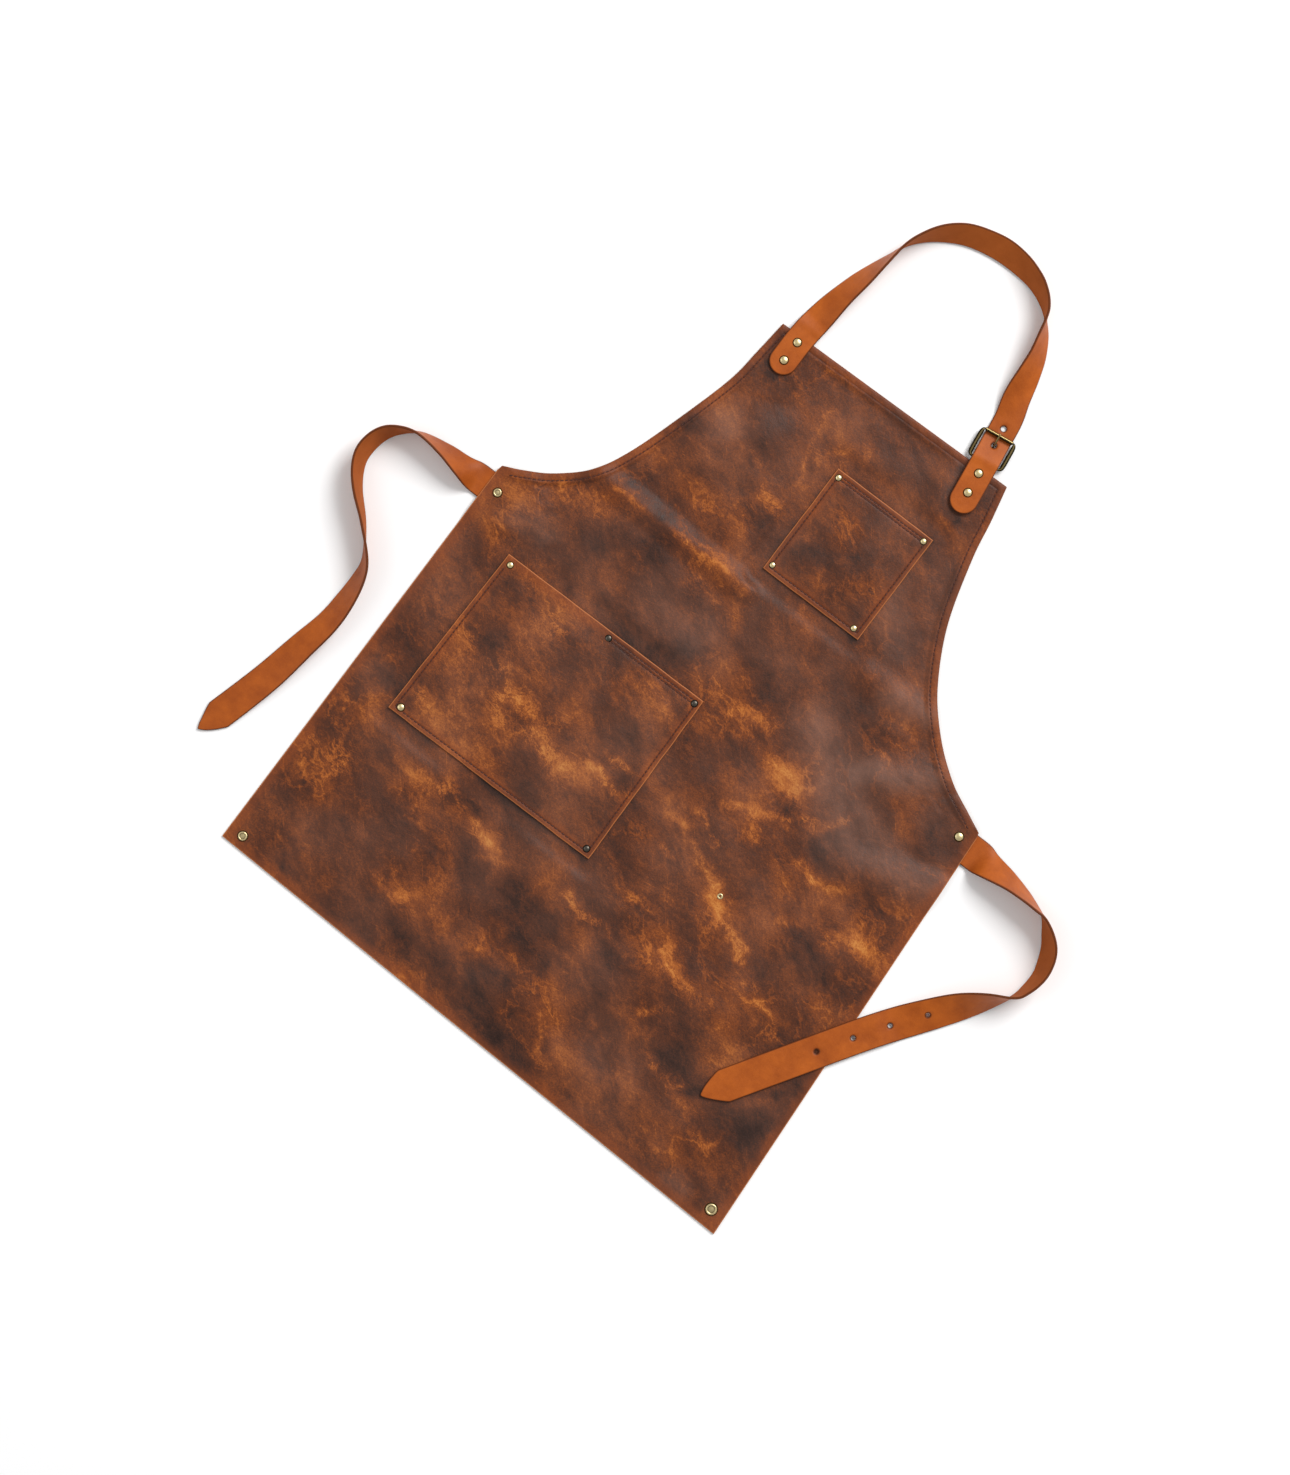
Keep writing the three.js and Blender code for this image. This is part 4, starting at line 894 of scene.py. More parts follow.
@dataclass
class ApronHide:
    """The hide in one piece: bib, waist and skirt."""

    cut: HideCut
    rim: tuple[float, ...] = (0, 0.35, 0.9, 1.7, 2.8, 4.4, 6.0, 6.9, 7.5, 8.1, 9.0, 10.5, 12.5)
    spacing: float = 3.7
    # Length of the straight sides as the rows divide it, and what the row at the waist leaves free
    side: float = 470.0
    waist_row: float = 4.0
    swell_size: float = 95.0
    swell_height: float = 2.4
    # Depth of the sunk stitch line, and height of the puckers beside it
    dent: float = 0.45
    pucker: float = 0.18
    # Where straps press the hide smooth: the right tie's end and the left tab, and how far that reaches
    pressed_flat: tuple[tuple[float, float, float, float], ...] = (
        (236.0, -379.0, 320.0, -246.0),
        (-140.0, 245.0, -140.0, 285.0),
    )
    flat_reach: tuple[float, float] = (20.0, 62.0)
    # Share of their width that light strokes keep on the hide
    slim: float = 0.66
    tones: Sequence[tuple[float, ...]] = ()
    # Painted sheen where the light glances off folds and swells
    painted_sheens: Sequence[tuple[float, ...]] = ()
    # Painted shadow along the lower and left sides of straps and pockets
    painted_shadow: Sequence[tuple[float, ...]] = ()

    def rows(self) -> tuple[np.ndarray, np.ndarray, np.ndarray]:
        """Left and right ends of each row, from the hem to the bib, and how steep the edge is there.

        Returns:
            Left points, right points, and steepness as two columns.
        """
        low_left, low_right = np.array(self.cut.hem_left, float), np.array(self.cut.hem_right, float)
        waist_left, waist_right = np.array(self.cut.waist_left), np.array(self.cut.waist_right)
        drop = graded(self.side, self.rim[:4], self.spacing)
        drop = 1 - drop[drop < self.side - self.waist_row] / self.side
        left = waist_left + (low_left - waist_left) * drop[:, None]
        right = waist_right + (low_right - waist_right) * drop[:, None]
        fine = np.linspace(0, 1, 2001)
        edge_left, edge_right = self.cut.armhole(True, fine), self.cut.armhole(False, fine)
        run = lengths(edge_right)
        places = run[-1] - graded(run[-1] * 2, self.rim, self.spacing)
        places = np.sort(places[places >= 0])
        up = np.interp(places, run, (edge_right[:, 1] - edge_right[0, 1]) / (edge_right[-1, 1] - edge_right[0, 1]))
        ends = []
        steep = [np.full((len(left), 2), 1.0)]
        slopes = []
        for edge in (edge_left, edge_right):
            rise = (edge[:, 1] - edge[0, 1]) / (edge[-1, 1] - edge[0, 1])
            share = np.interp(up, rise, fine)
            ends.append(np.column_stack([np.interp(share, fine, edge[:, 0]), np.interp(share, fine, edge[:, 1])]))
            tangent = np.gradient(edge, axis=0)
            slope = np.abs(tangent[:, 1]) / np.linalg.norm(tangent, axis=1)
            slopes.append(np.interp(share, fine, slope))
        steep.append(np.maximum(np.column_stack(slopes), 0.35))
        return np.vstack([left, ends[0]]), np.vstack([right, ends[1]]), np.vstack(steep)

    def swell(self, points: np.ndarray) -> np.ndarray:
        """Height of the hide's soft swells, which fade at rivets and under straps.

        Args:
            points: Points in plan.

        Returns:
            One height for each point, below 0 where the hide lies flat.
        """
        swell = (relief(points, self.swell_size, 3) + 0.55) * self.swell_height
        for spot in (self.cut.eyelet, *self.cut.hem_rivets, *self.cut.waist_rivets):
            swell *= smoothstep(np.linalg.norm(points - np.array(spot), axis=1), 9, 40)
        for x0, y0, x1, y1 in self.pressed_flat:
            away = distance_to_segment(points, (x0, y0), (x1, y1))
            swell *= smoothstep(away, *self.flat_reach)
        return swell

    def build(self, finish: bpy.types.Material) -> bpy.types.Object:
        """Builds the hide.

        Args:
            finish: Its material.

        Returns:
            The piece.
        """
        left, right, steep = self.rows()
        waist = self.cut.waist_right[0] - self.cut.waist_left[0]
        columns = int(round(waist / self.spacing)) + 2 * (len(self.rim) - 1)
        slab = Slab(columns, len(left) - 1)
        rim = np.array(self.rim)
        a, b = left[slab.row], right[slab.row]
        width = np.linalg.norm(b - a, axis=1)
        last = len(rim) - 1
        from_left = rim[np.clip(slab.column, 0, last)] / steep[slab.row, 0]
        from_right = rim[np.clip(columns - slab.column, 0, last)] / steep[slab.row, 1]
        inner_left, inner_right = rim[-1] / steep[slab.row, 0], width - rim[-1] / steep[slab.row, 1]
        middle = inner_left + (inner_right - inner_left) * (slab.column - last) / (columns - 2 * last)
        run = np.where(
            slab.column <= last, from_left, np.where(slab.column >= columns - last, width - from_right, middle)
        )
        points = a + (b - a) * (run / width)[:, None]
        turned = self.cut.turned(points)
        raw = distance_to_line(points, self.cut.raw_edge)
        thickness = self.cut.thickness(points)
        soft = smoothstep(turned, 0, 2)
        crown = np.minimum(rounded(turned, 2.6, 0.2), rounded(raw, 0.8, 0.5))
        calm = self.cut.calm(points) * smoothstep(np.minimum(turned, raw), 4, 60)
        lift = self.cut.lift(points) + np.maximum(self.swell(points) * calm, 0)
        pressed = self.dent * np.exp(-((turned - self.cut.seam) ** 2)) * slab.side
        waves = np.sin(points[:, 0] / 2.3 + points[:, 1] / 2.9) * np.exp(-(((turned - 5) / 4) ** 2))
        puckered = self.pucker * waves * slab.side * soft
        height = lift + thickness / 2 + (slab.side - 0.5) * thickness * crown - pressed + puckered
        marks = {
            # The tone adds the wax strokes and the painted shadow beside straps and pockets
            "tone": strokes(points, self.tones, slim=self.slim) + strokes(points, self.painted_shadow, 1.0),
            # Painted sheen on the listed folds and swells
            "bloom": np.clip(strokes(points, self.painted_sheens), 0, 1),
            "rim": np.minimum(raw, turned + 1.4),
            "flesh": 1 - slab.side,
            "seam": np.abs(turned - self.cut.seam),
        }
        shape = slab.place(np.column_stack([points, height]), marks)
        piece = finish_piece("apron_hide", shape, finish, ["apron_body"])
        return piece


@dataclass
class Pocket:
    """A pocket: one layer of hide, stitched on three sides and riveted at its corners."""

    name: str
    node: str
    x: float
    y: float
    foot: float
    height: float
    mouth: float
    # Stitch lines as shares of the width and height, from one point to another
    seams: tuple[tuple[float, float, float, float], ...]
    tone: float
    tones: Sequence[tuple[float, ...]] = ()
    rim: tuple[float, ...] = (0, 0.3, 0.8, 1.5, 2.4, 3.4, 4.2, 4.8, 5.4, 6.2, 7.4, 8.2, 9.0, 10.5)
    spacing: float = 3.0
    belly: float = 2.0

    def width(self, up: Any) -> Any:
        """Width of the pocket at shares of its height."""
        return self.foot + (self.mouth - self.foot) * up

    def spot(self, across: Any, up: Any) -> np.ndarray:
        """Points on the pocket by shares of its width and height, numbers or arrays."""
        return np.stack([self.x + (across - 0.5) * self.width(up), self.y + up * self.height], axis=-1)

    def level(self, across: np.ndarray, up: np.ndarray) -> np.ndarray:
        """Height of its underside at shares of its width and height."""
        return HIDE + GAP + self.belly * np.sin(np.pi * across) * np.sin(np.pi * up)

    def seam_top(self, seam: tuple[float, float, float, float], points: np.ndarray) -> np.ndarray:
        """Height of its grain side along a seam.

        Args:
            seam: One of its stitch lines.
            points: Points on it in plan.

        Returns:
            One height for each point.
        """
        x0, y0, x1, y1 = seam
        start, end = self.spot(x0, y0), self.spot(x1, y1)
        share = np.linalg.norm(points - start, axis=1) / np.linalg.norm(end - start)
        return self.level(x0 + (x1 - x0) * share, y0 + (y1 - y0) * share) + HIDE

    def build(self, finish: bpy.types.Material) -> bpy.types.Object:
        """Builds the pocket.

        Args:
            finish: Its material.

        Returns:
            The piece.
        """
        across_places = graded(self.foot, self.rim, self.spacing) / self.foot
        up_places = graded(self.height, self.rim, self.spacing) / self.height
        slab = Slab(len(across_places) - 1, len(up_places) - 1)
        across, up = across_places[slab.column], up_places[slab.row]
        points = self.spot(across, up)
        edge = np.minimum(np.minimum(across, 1 - across) * self.width(up), np.minimum(up, 1 - up) * self.height)
        seam = np.full(len(points), 99.0)
        for x0, y0, x1, y1 in self.seams:
            seam = np.minimum(seam, distance_to_segment(points, self.spot(x0, y0), self.spot(x1, y1)))
        wavy = 0.35 * relief(points, 26, 2)
        points = points + wavy[:, None] * (1 - smoothstep(edge, 0, 12))[:, None]
        swell = 0.9 * np.maximum(relief(points, 45, 3) + 0.3, 0) * smoothstep(edge, 8, 30)
        pressed = 0.5 * np.exp(-((seam / 0.9) ** 2)) * slab.side
        crown = rounded(edge, 0.9, 0.45)
        height = self.level(across, up) + swell + HIDE / 2 + (slab.side - 0.5) * HIDE * crown - pressed
        marks = {
            "tone": self.tone + strokes(points, self.tones),
            "bloom": np.zeros(len(points)),
            "rim": edge,
            "flesh": 1 - slab.side,
            "seam": seam,
        }
        shape = slab.place(np.column_stack([points, height]), marks)
        piece = finish_piece(self.name, shape, finish, [self.node])
        return piece


# Straps


@dataclass
class Strap:
    """A band of strap leather along a route, leaning where it stands on its edge."""

    name: str
    node: str
    # Places in plan and lean in degrees along the middle, and the side that is up where it leans, 1 for left
    stations: np.ndarray
    width: float
    inner: int
    # How steeply it can climb, and what it lies on
    slope: float
    ground: GroundRule
    tips: tuple[Tip, Tip]
    tip_lengths: tuple[float, float]
    holes: tuple[float, ...] = ()
    # Size of its holes, and how many cells their edges are from their middles
    hole: float = 4.8
    reach: int = 2
    rim: tuple[float, ...] = (0, 0.12, 0.4, 0.9, 1.6)
    spacing: float = 3.0
    shade: float = 0.0

    @cached_property
    def table(self) -> dict[str, np.ndarray]:
        """Middle line, directions, lean and seat at even distances."""
        points = spline(self.stations, np.linspace(0, 1, 6001), True)
        run = lengths(points[:, :2])
        distance = np.linspace(0, run[-1], int(run[-1]) + 1)
        x, y, lean = (np.interp(distance, run, points[:, k]) for k in range(3))
        ahead = np.column_stack([np.gradient(x), np.gradient(y)])
        ahead /= np.linalg.norm(ahead, axis=1)[:, None]
        lean = np.radians(np.clip(lean, 0, 180))
        inward = np.column_stack([-ahead[:, 1], ahead[:, 0]]) * self.inner
        need = np.zeros(len(distance))
        for aside in (-1, -0.5, 0, 0.5, 1):
            spots = np.column_stack([x, y]) + inward * (aside * self.width / 2 * np.abs(np.cos(lean)))[:, None]
            need = np.maximum(need, self.ground(spots))
        climb = distance * self.slope
        forward = np.maximum.accumulate(need + climb) - climb
        backward = (np.maximum.accumulate((need - climb)[::-1]))[::-1] + climb
        seat = np.maximum(np.maximum(forward, backward), 0)
        return {"run": distance, "x": x, "y": y, "lean": lean, "in_x": inward[:, 0], "in_y": inward[:, 1], "seat": seat}

    @property
    def length(self) -> float:
        """Length of the middle line."""
        return float(self.table["run"][-1])

    def seat_at(self, distance: float) -> float:
        """Height of the underside at a distance from the start."""
        return float(np.interp(distance, self.table["run"], self.table["seat"]))

    def half_width(self, distance: np.ndarray) -> np.ndarray:
        """Half the band's width at distances from its start, with pointed tips narrowed.

        Args:
            distance: Distances from the start.

        Returns:
            Half widths.
        """
        half = np.full(len(distance), self.width / 2)
        for tip, size, toward in zip(self.tips, self.tip_lengths, (distance, self.length - distance)):
            if tip is Tip.POINTED:
                share = np.clip(toward / size, 0, 1)
                half = np.minimum(half, self.width / 2 * np.maximum(share**0.72, 0.05))
        return half

    @property
    def round_tips(self) -> list[tuple[Callable[[np.ndarray], np.ndarray], float]]:
        """For each rounded end, how distances turn into distances from it and back, and the length of its tip."""
        turns = (lambda along: along, lambda along: self.length - along)
        return [(turn, size) for turn, tip, size in zip(turns, self.tips, self.tip_lengths) if tip is Tip.ROUND]

    def row_places(self) -> tuple[np.ndarray, list[int]]:
        """Distances of the rows, and the row of each hole.

        Returns:
            Places along the strap and the holes' row numbers.
        """
        places = set(np.round(graded(self.length, self.rim, self.spacing), 3))
        cell = self.hole / 2 / self.reach
        for hole in self.holes:
            places = {p for p in places if abs(p - hole) > cell * (self.reach + 1.6)}
            places |= {round(hole + k * cell, 3) for k in range(-self.reach - 1, self.reach + 2)}
        ordered = np.array(sorted(places))
        return ordered, [int(np.argmin(np.abs(ordered - hole))) for hole in self.holes]

    def wrap(self, along: np.ndarray, aside: np.ndarray, up: np.ndarray) -> np.ndarray:
        """Places points of the flat band on its route.

        Args:
            along: Distances from the start.
            aside: Distances to the left of the middle line.
            up: Heights above the band's middle.

        Returns:
            Points in the row frame.
        """
        table = self.table
        x, y, lean, in_x, in_y, seat = (
            np.interp(along, table["run"], table[key]) for key in ("x", "y", "lean", "in_x", "in_y", "seat")
        )
        size = np.hypot(in_x, in_y)
        in_x, in_y = in_x / size, in_y / size
        half = self.half_width(along)
        low = seat + half * np.abs(np.sin(lean)) + STRAP_HIDE / 2 * np.abs(np.cos(lean))
        turn = aside * self.inner
        flat = turn * np.cos(lean) - up * np.sin(lean)
        return np.column_stack([x + in_x * flat, y + in_y * flat, low + turn * np.sin(lean) + up * np.cos(lean)])

    def build(self, finish: bpy.types.Material) -> bpy.types.Object:
        """Builds the strap.

        Args:
            finish: Its material.

        Returns:
            The piece.
        """
        rows, hole_rows = self.row_places()
        cell = self.hole / 2 / self.reach if self.holes else self.width / 22
        half = self.width / 2
        count = int(round((half - self.rim[-1]) / cell))
        middle = np.linspace(0, half - self.rim[-1], count + 1)
        right = np.concatenate([middle, half - np.array(self.rim[:-1])[::-1]])
        across = np.concatenate([-right[:0:-1], right])
        centre = len(right) - 1
        slab = Slab(len(across) - 1, len(rows) - 1, [(centre, row, self.reach, self.reach) for row in hole_rows])
        along, aside = rows[slab.row], across[slab.column] / half
        for row in hole_rows:
            x = (slab.column - centre) / self.reach
            y = (slab.row - row) / self.reach
            ring = np.maximum(np.abs(x), np.abs(y)) < 1.01
            aside = np.where(ring, self.hole / 2 * x * np.sqrt(1 - np.minimum(y * y, 1) / 2) / half, aside)
            along = np.where(ring, rows[row] + self.hole / 2 * y * np.sqrt(1 - np.minimum(x * x, 1) / 2), along)
        for turn, size in self.round_tips:
            toward = turn(along)
            x = np.clip(1 - toward / size, 0, 1)
            bent = size - size * x * np.sqrt(1 - aside**2 / 2)
            aside = np.where(toward < size, aside * np.sqrt(1 - x * x / 2), aside)
            along = turn(np.where(toward < size, bent, toward))
        half_here = self.half_width(along)
        side_edge = (1 - np.abs(aside)) * half_here
        end_edge = np.minimum(along, self.length - along)
        edge = np.minimum(side_edge, end_edge)
        for turn, size in self.round_tips:
            toward = turn(along)
            radial = 1 - np.hypot(1 - np.clip(toward / size, 0, 1), aside)
            edge = np.where(toward < size, radial * size, edge)
        for row in hole_rows:
            away = np.hypot(along - rows[row], aside * half_here) - self.hole / 2
            edge = np.minimum(edge, np.maximum(away, 0) * 0.8)
        crown = rounded(np.maximum(edge, 0), 1.2, 0.3)
        rough = 0.12 * relief(np.column_stack([along, aside * half_here]), 14, 2)
        up = (slab.side - 0.5) * STRAP_HIDE * crown + rough * slab.side
        spots = self.wrap(along, aside * half_here, up)
        marks = {
            "rim": np.maximum(edge, 0),
            "flesh": 1 - slab.side,
            "tone": self.shade + 0.1 * relief(np.column_stack([along, aside * 20]), 60, 2),
        }
        shape = slab.place(spots, marks)
        piece = finish_piece(self.name, shape, finish, [self.node])
        self.length * MM
        return piece


# Metal parts


def spin_section(
    corners: Sequence[tuple[float, float, float, float]], centre: Vector, axis: Vector, steps: int, closed: bool
) -> bmesh.types.BMesh:
    """Spins a section full round.

    Args:
        corners: Place and patina of each corner of the section, in millimetres.
        centre: A point on the axis.
        axis: The axis's direction.
        steps: Faces round it.
        closed: Whether the last corner joins the first.

    Returns:
        The shape in millimetres.
    """
    shape = bmesh.new()
    hollow = shape.verts.layers.float.new("hollow")
    chain = []
    for *spot, patina in corners:
        vert = shape.verts.new(spot)
        vert[hollow] = patina
        chain.append(vert)
    edges = [shape.edges.new(pair) for pair in zip(chain, chain[1:] + chain[:1] if closed else chain[1:])]
    bmesh.ops.spin(shape, geom=chain + edges, cent=centre, axis=axis, angle=math.tau, steps=steps, use_merge=True)
    bmesh.ops.remove_doubles(shape, verts=shape.verts, dist=MERGE)
    return shape


def turned_part(
    at: tuple[float, float], bottom: float, section: Sequence[tuple[float, float, float]], steps: int, closed: bool
) -> bmesh.types.BMesh:
    """Turns an upright part.

    Args:
        at: Place of its axis in plan.
        bottom: Height from which the section is measured.
        section: Radius, height and patina of each corner.
        steps: Faces round it.
        closed: Whether the section is a ring.

    Returns:
        The shape in metres.
    """
    x, y = at
    corners = [(x + radius, y, bottom + height, patina) for radius, height, patina in section]
    shape = spin_section(corners, Vector((x, y, 0)), Vector((0, 0, 1)), steps, closed)
    bmesh.ops.scale(shape, vec=(MM, MM, MM), verts=shape.verts)
    return shape


@dataclass
class Rivet:
    """A rivet: cap on top, post through the leather, small cap under it."""

    name: str
    at: tuple[float, float]
    bottom: float
    top: float
    cap: float
    style: Cap = Cap.DOMED
    black: bool = False
    steps: int = 32

    def profile(self) -> list[tuple[float, float, float]]:
        """Half section from the middle of the underside to the middle of the top.

        Returns:
            Radius, height and patina of each corner.
        """
        half = self.cap / 2
        seat = self.top - self.bottom + GAP
        foot = [(0, FOOT, 0.2), (3.1, FOOT, 0.3), (3.5, 0.25, 0.5), (3.4, 0.7, 0.8), (1.5, 0.7, 1.0)]
        neck = [(1.5, seat - 0.2, 1.0), (half + 0.8, seat - 0.2, 1.0), (half + 0.8, seat - 0.05, 1.0)]
        neck += [(half * 0.99, seat, 1.0), (half, seat + 0.22, 0.6), (half * 0.98, seat + 0.6, 0.15)]
        if self.style is Cap.DOMED:
            rise = self.cap * 0.18
            bow = [(0.9, 0.62), (0.76, 0.82), (0.58, 0.97), (0.38, 1.1), (0.18, 1.17), (0, 1.2)]
            dome = [(half * r, seat + rise * h + 0.1, 0.0) for r, h in bow]
            return foot + neck + dome
        rise = max(self.cap * 0.14, 0.9)
        bow = [(0.9, 0.85, 0.0), (0.8, 1.0, 0.0), (0.7, 0.96, 0.05), (0.62, 0.7, 0.5), (0.56, 0.5, 0.8)]
        ring = [(half * r, seat + rise * h, patina) for r, h, patina in bow]
        dip = [(0.48, 0.5, 0.45), (0.3, 0.62, 0.3), (0, 0.66, 0.2)]
        pressed = [(half * r, seat + rise * h, patina) for r, h, patina in dip]
        return foot + neck + ring + pressed

    def build(self, brass: bpy.types.Material, black: bpy.types.Material) -> bpy.types.Object:
        """Builds the rivet.

        Args:
            brass: Finish of a plain rivet.
            black: Finish of a blackened one.

        Returns:
            The piece.
        """
        shape = turned_part(self.at, self.bottom, self.profile(), self.steps, False)
        finish, slot = (black, Slot.BLACK) if self.black else (brass, Slot.BRASS)
        return finish_piece(self.name + "_cap", shape, finish, [self.name], 40)


@dataclass
class Eyelet:
    """A tubular rivet with a rolled rim."""

    at: tuple[float, float]
    rim: float = 5.9
    bore: float = 1.8
    steps: int = 28

    def build(self, brass: bpy.types.Material) -> bpy.types.Object:
        """Builds the eyelet.

        Args:
            brass: Its finish.

        Returns:
            The piece.
        """
        seat = HIDE + GAP
        r = self.rim / 2
        bore = self.bore / 2
        profile = [
            (bore, FOOT, 0.6),
            (r, FOOT, 0.5),
            (r, 0.5, 0.5),
            (1.5, 0.7, 1.0),
            (1.5, seat, 1.0),
            (r * 0.94, seat, 0.9),
            (r, seat + 0.2, 0.4),
            (r * 0.9, seat + 0.5, 0.0),
            (r * 0.7, seat + 0.64, 0.0),
            (r * 0.5, seat + 0.5, 0.2),
            (1.05, seat + 0.1, 0.8),
            (bore, seat - 0.4, 1.0),
        ]
        shape = turned_part(self.at, 0.0, profile, self.steps, True)
        return finish_piece("skirt_eyelet", shape, brass, ["eyelet"], 40)


def sweep(
    shape: bmesh.types.BMesh,
    line: Sequence[Vector],
    sizes: Sequence[tuple[float, float]],
    closed: bool,
    sides: int = 14,
    across: Vector | None = None,
) -> None:
    """Sweeps an oval section along a line.

    Args:
        shape: Mesh that gets the bar, in millimetres.
        line: Points of its middle line, all in one upright or flat plane.
        sizes: Width and height of the section at each point.
        closed: Whether the bar closes on itself.
        sides: Corners of the section.
        across: Direction of the section's width where it stays the same, else it is level.
    """
    last = len(line) - 1
    rings = []
    for i, spot in enumerate(line):
        before = line[i - 1] if closed or i > 0 else spot
        after = line[(i + 1) % len(line)] if closed or i < last else spot
        ahead = (after - before).normalized()
        side = ahead.cross(Vector((0, 0, 1))) if across is None else across
        side = side.normalized() if side.length > 0.05 else Vector((1, 0, 0))
        up = side.cross(ahead).normalized()
        width, height = sizes[i]
        turn = Matrix((side * width / 2, up * height / 2, ahead)).transposed().to_4x4()
        turn.translation = spot
        capped = not closed and i in (0, last)
        ring = bmesh.ops.create_circle(shape, segments=sides, radius=1, cap_ends=capped, matrix=turn)["verts"]
        rings.append(list({edge for vert in ring for edge in vert.link_edges}))
    for one, other in zip(rings, rings[1:] + rings[:1] if closed else rings[1:]):
        bmesh.ops.bridge_loops(shape, edges=one + other)


@dataclass
class Buckle:
    """Roller buckle: frame, roller, prong and the chape that holds it."""

    cut: HideCut
    # Place of the hinge bar up the leg, and how far the roller's bar is from it
    hinge: float = 13.0
    length: float = 30.0
    width: float = 41.0
    wire: float = 2.5
    arm: float = 4.8
    bar: float = 1.5
    level: float = 5.2
    roller: float = 31.0
    roller_size: float = 3.8
    roller_bore: float = 1.55
    roller_lip: float = 0.15
    prong: float = 2.0
    prong_ring: float = 2.3
    chape_width: float = 25.0
    # Where the chape ends on the leg, from the strap's upper rivet, and half its slot for the prong
    chape_end: float = -29.0
    chape_slot: float = 1.6

    @property
    def chape_top(self) -> float:
        """Height of the chape's upper face over the hide."""
        return HIDE * 2 + CHAPE_HIDE * 2 + GAP * 2

    @property
    def chape_radius(self) -> float:
        """Radius of the middle of its loop round the hinge bar."""
        return self.wire / 2 + GAP * 1.8 + CHAPE_HIDE / 2

    def stand(self, shape: bmesh.types.BMesh) -> None:
        """Stands a shape drawn at the hinge bar, x across and y along the leg, on the leg."""
        spot = self.cut.on_leg(self.hinge)
        place = Matrix.Translation((spot[0], spot[1], self.level)) @ Matrix.Rotation(
            math.radians(self.cut.buckle_lean), 4, "Z"
        )
        bmesh.ops.transform(shape, matrix=Matrix.Scale(MM, 4) @ place, verts=shape.verts)

    def shade(self, shape: bmesh.types.BMesh, rule: Callable[[Vector], float]) -> None:
        """Writes the patina, and on the frame and roller the painted highlights, by rule, before the shape is placed.
        """
        hollow = shape.verts.layers.float.get("hollow") or shape.verts.layers.float.new("hollow")
        for vert in shape.verts:
            vert[hollow] = rule(vert.co)

    def frame(self, finish: bpy.types.Material) -> bpy.types.Object:
        """Builds the frame: hinge bar, two bowed arms and the roller's bar.

        Args:
            finish: Its material.

        Returns:
            The piece.
        """
        wide, narrow = self.width / 2 - self.arm / 2, self.roller / 2 + GAP + 2.0
        bar, wire, arm, top = self.bar, self.wire, self.arm, self.length
        # Place across and along, then width and height of the section
        side = np.array(
            [
                (0, 0, wire, wire),
                (wide * 0.4, 0, wire, wire),
                (wide * 0.72, 0.0, wire, wire),
                (wide * 0.88, 0.5, arm * 0.62, wire),
                (wide * 0.98, 2.3, arm * 0.86, wire),
                (wide, 6.0, arm, wire),
                (wide + 0.1, 11.0, arm, wire),
                (wide + 0.05, 17.0, arm, wire),
                (narrow + 0.3, 22.5, arm, wire),
                (narrow + 0.1, 26.4, arm * 0.92, wire),
                (narrow - 0.5, top - 1.1, arm * 0.66, wire),
                (narrow - 1.7, top, bar * 1.3, bar * 1.2),
                (narrow - 3.4, top, bar, bar),
                (narrow * 0.4, top, bar, bar),
            ]
        )
        loop = np.vstack([side, side[:0:-1] * (-1, 1, 1, 1), side[:1]])
        run = spline(np.vstack([loop[-2], loop, loop[1]]), np.linspace(1, len(loop), 141)[:-1] / (len(loop) + 1), False)
        ring = [(Vector((x, y, 0)), (width, height)) for x, y, width, height in run]
        shape = bmesh.new()
        sweep(shape, [p for p, _ in ring], [s for _, s in ring], True)
        # Painted highlight along the crest of the frame; the rest stays dark, as patina and as painted shade beside the
        # strap
        self.shade(shape, lambda co: 0.0 if co.z > 1.15 else 1.0)
        self.stand(shape)
        return finish_piece("buckle_ring", shape, finish, ["buckle_frame"], 60)

    def roller_tube(self, finish: bpy.types.Material) -> bpy.types.Object:
        """Builds the roller: a thin tube, turned over at its ends.

        Args:
            finish: Its material.

        Returns:
            The piece.
        """
        half, outer = self.roller / 2, self.roller_size / 2
        bore, lip = self.roller_bore, self.roller_lip
        profile = [(-half, bore), (-half, outer - lip), (-half + lip, outer), (0, outer)]
        profile += [(half - lip, outer), (half, outer - lip), (half, bore), (0, bore)]
        corners = [(x, self.length, radius, 0.0) for x, radius in profile]
        shape = spin_section(corners, Vector((0, self.length, 0)), Vector((1, 0, 0)), 28, True)
        # Painted highlight along the roller's upper side, towards the light; the rest is dark patina
        self.shade(shape, lambda co: 0.0 if 0.5 < math.atan2(co.z, co.y - self.length) < 1.35 else 0.9)
        self.stand(shape)
        return finish_piece("buckle_tube", shape, finish, ["buckle_roller"], 40)

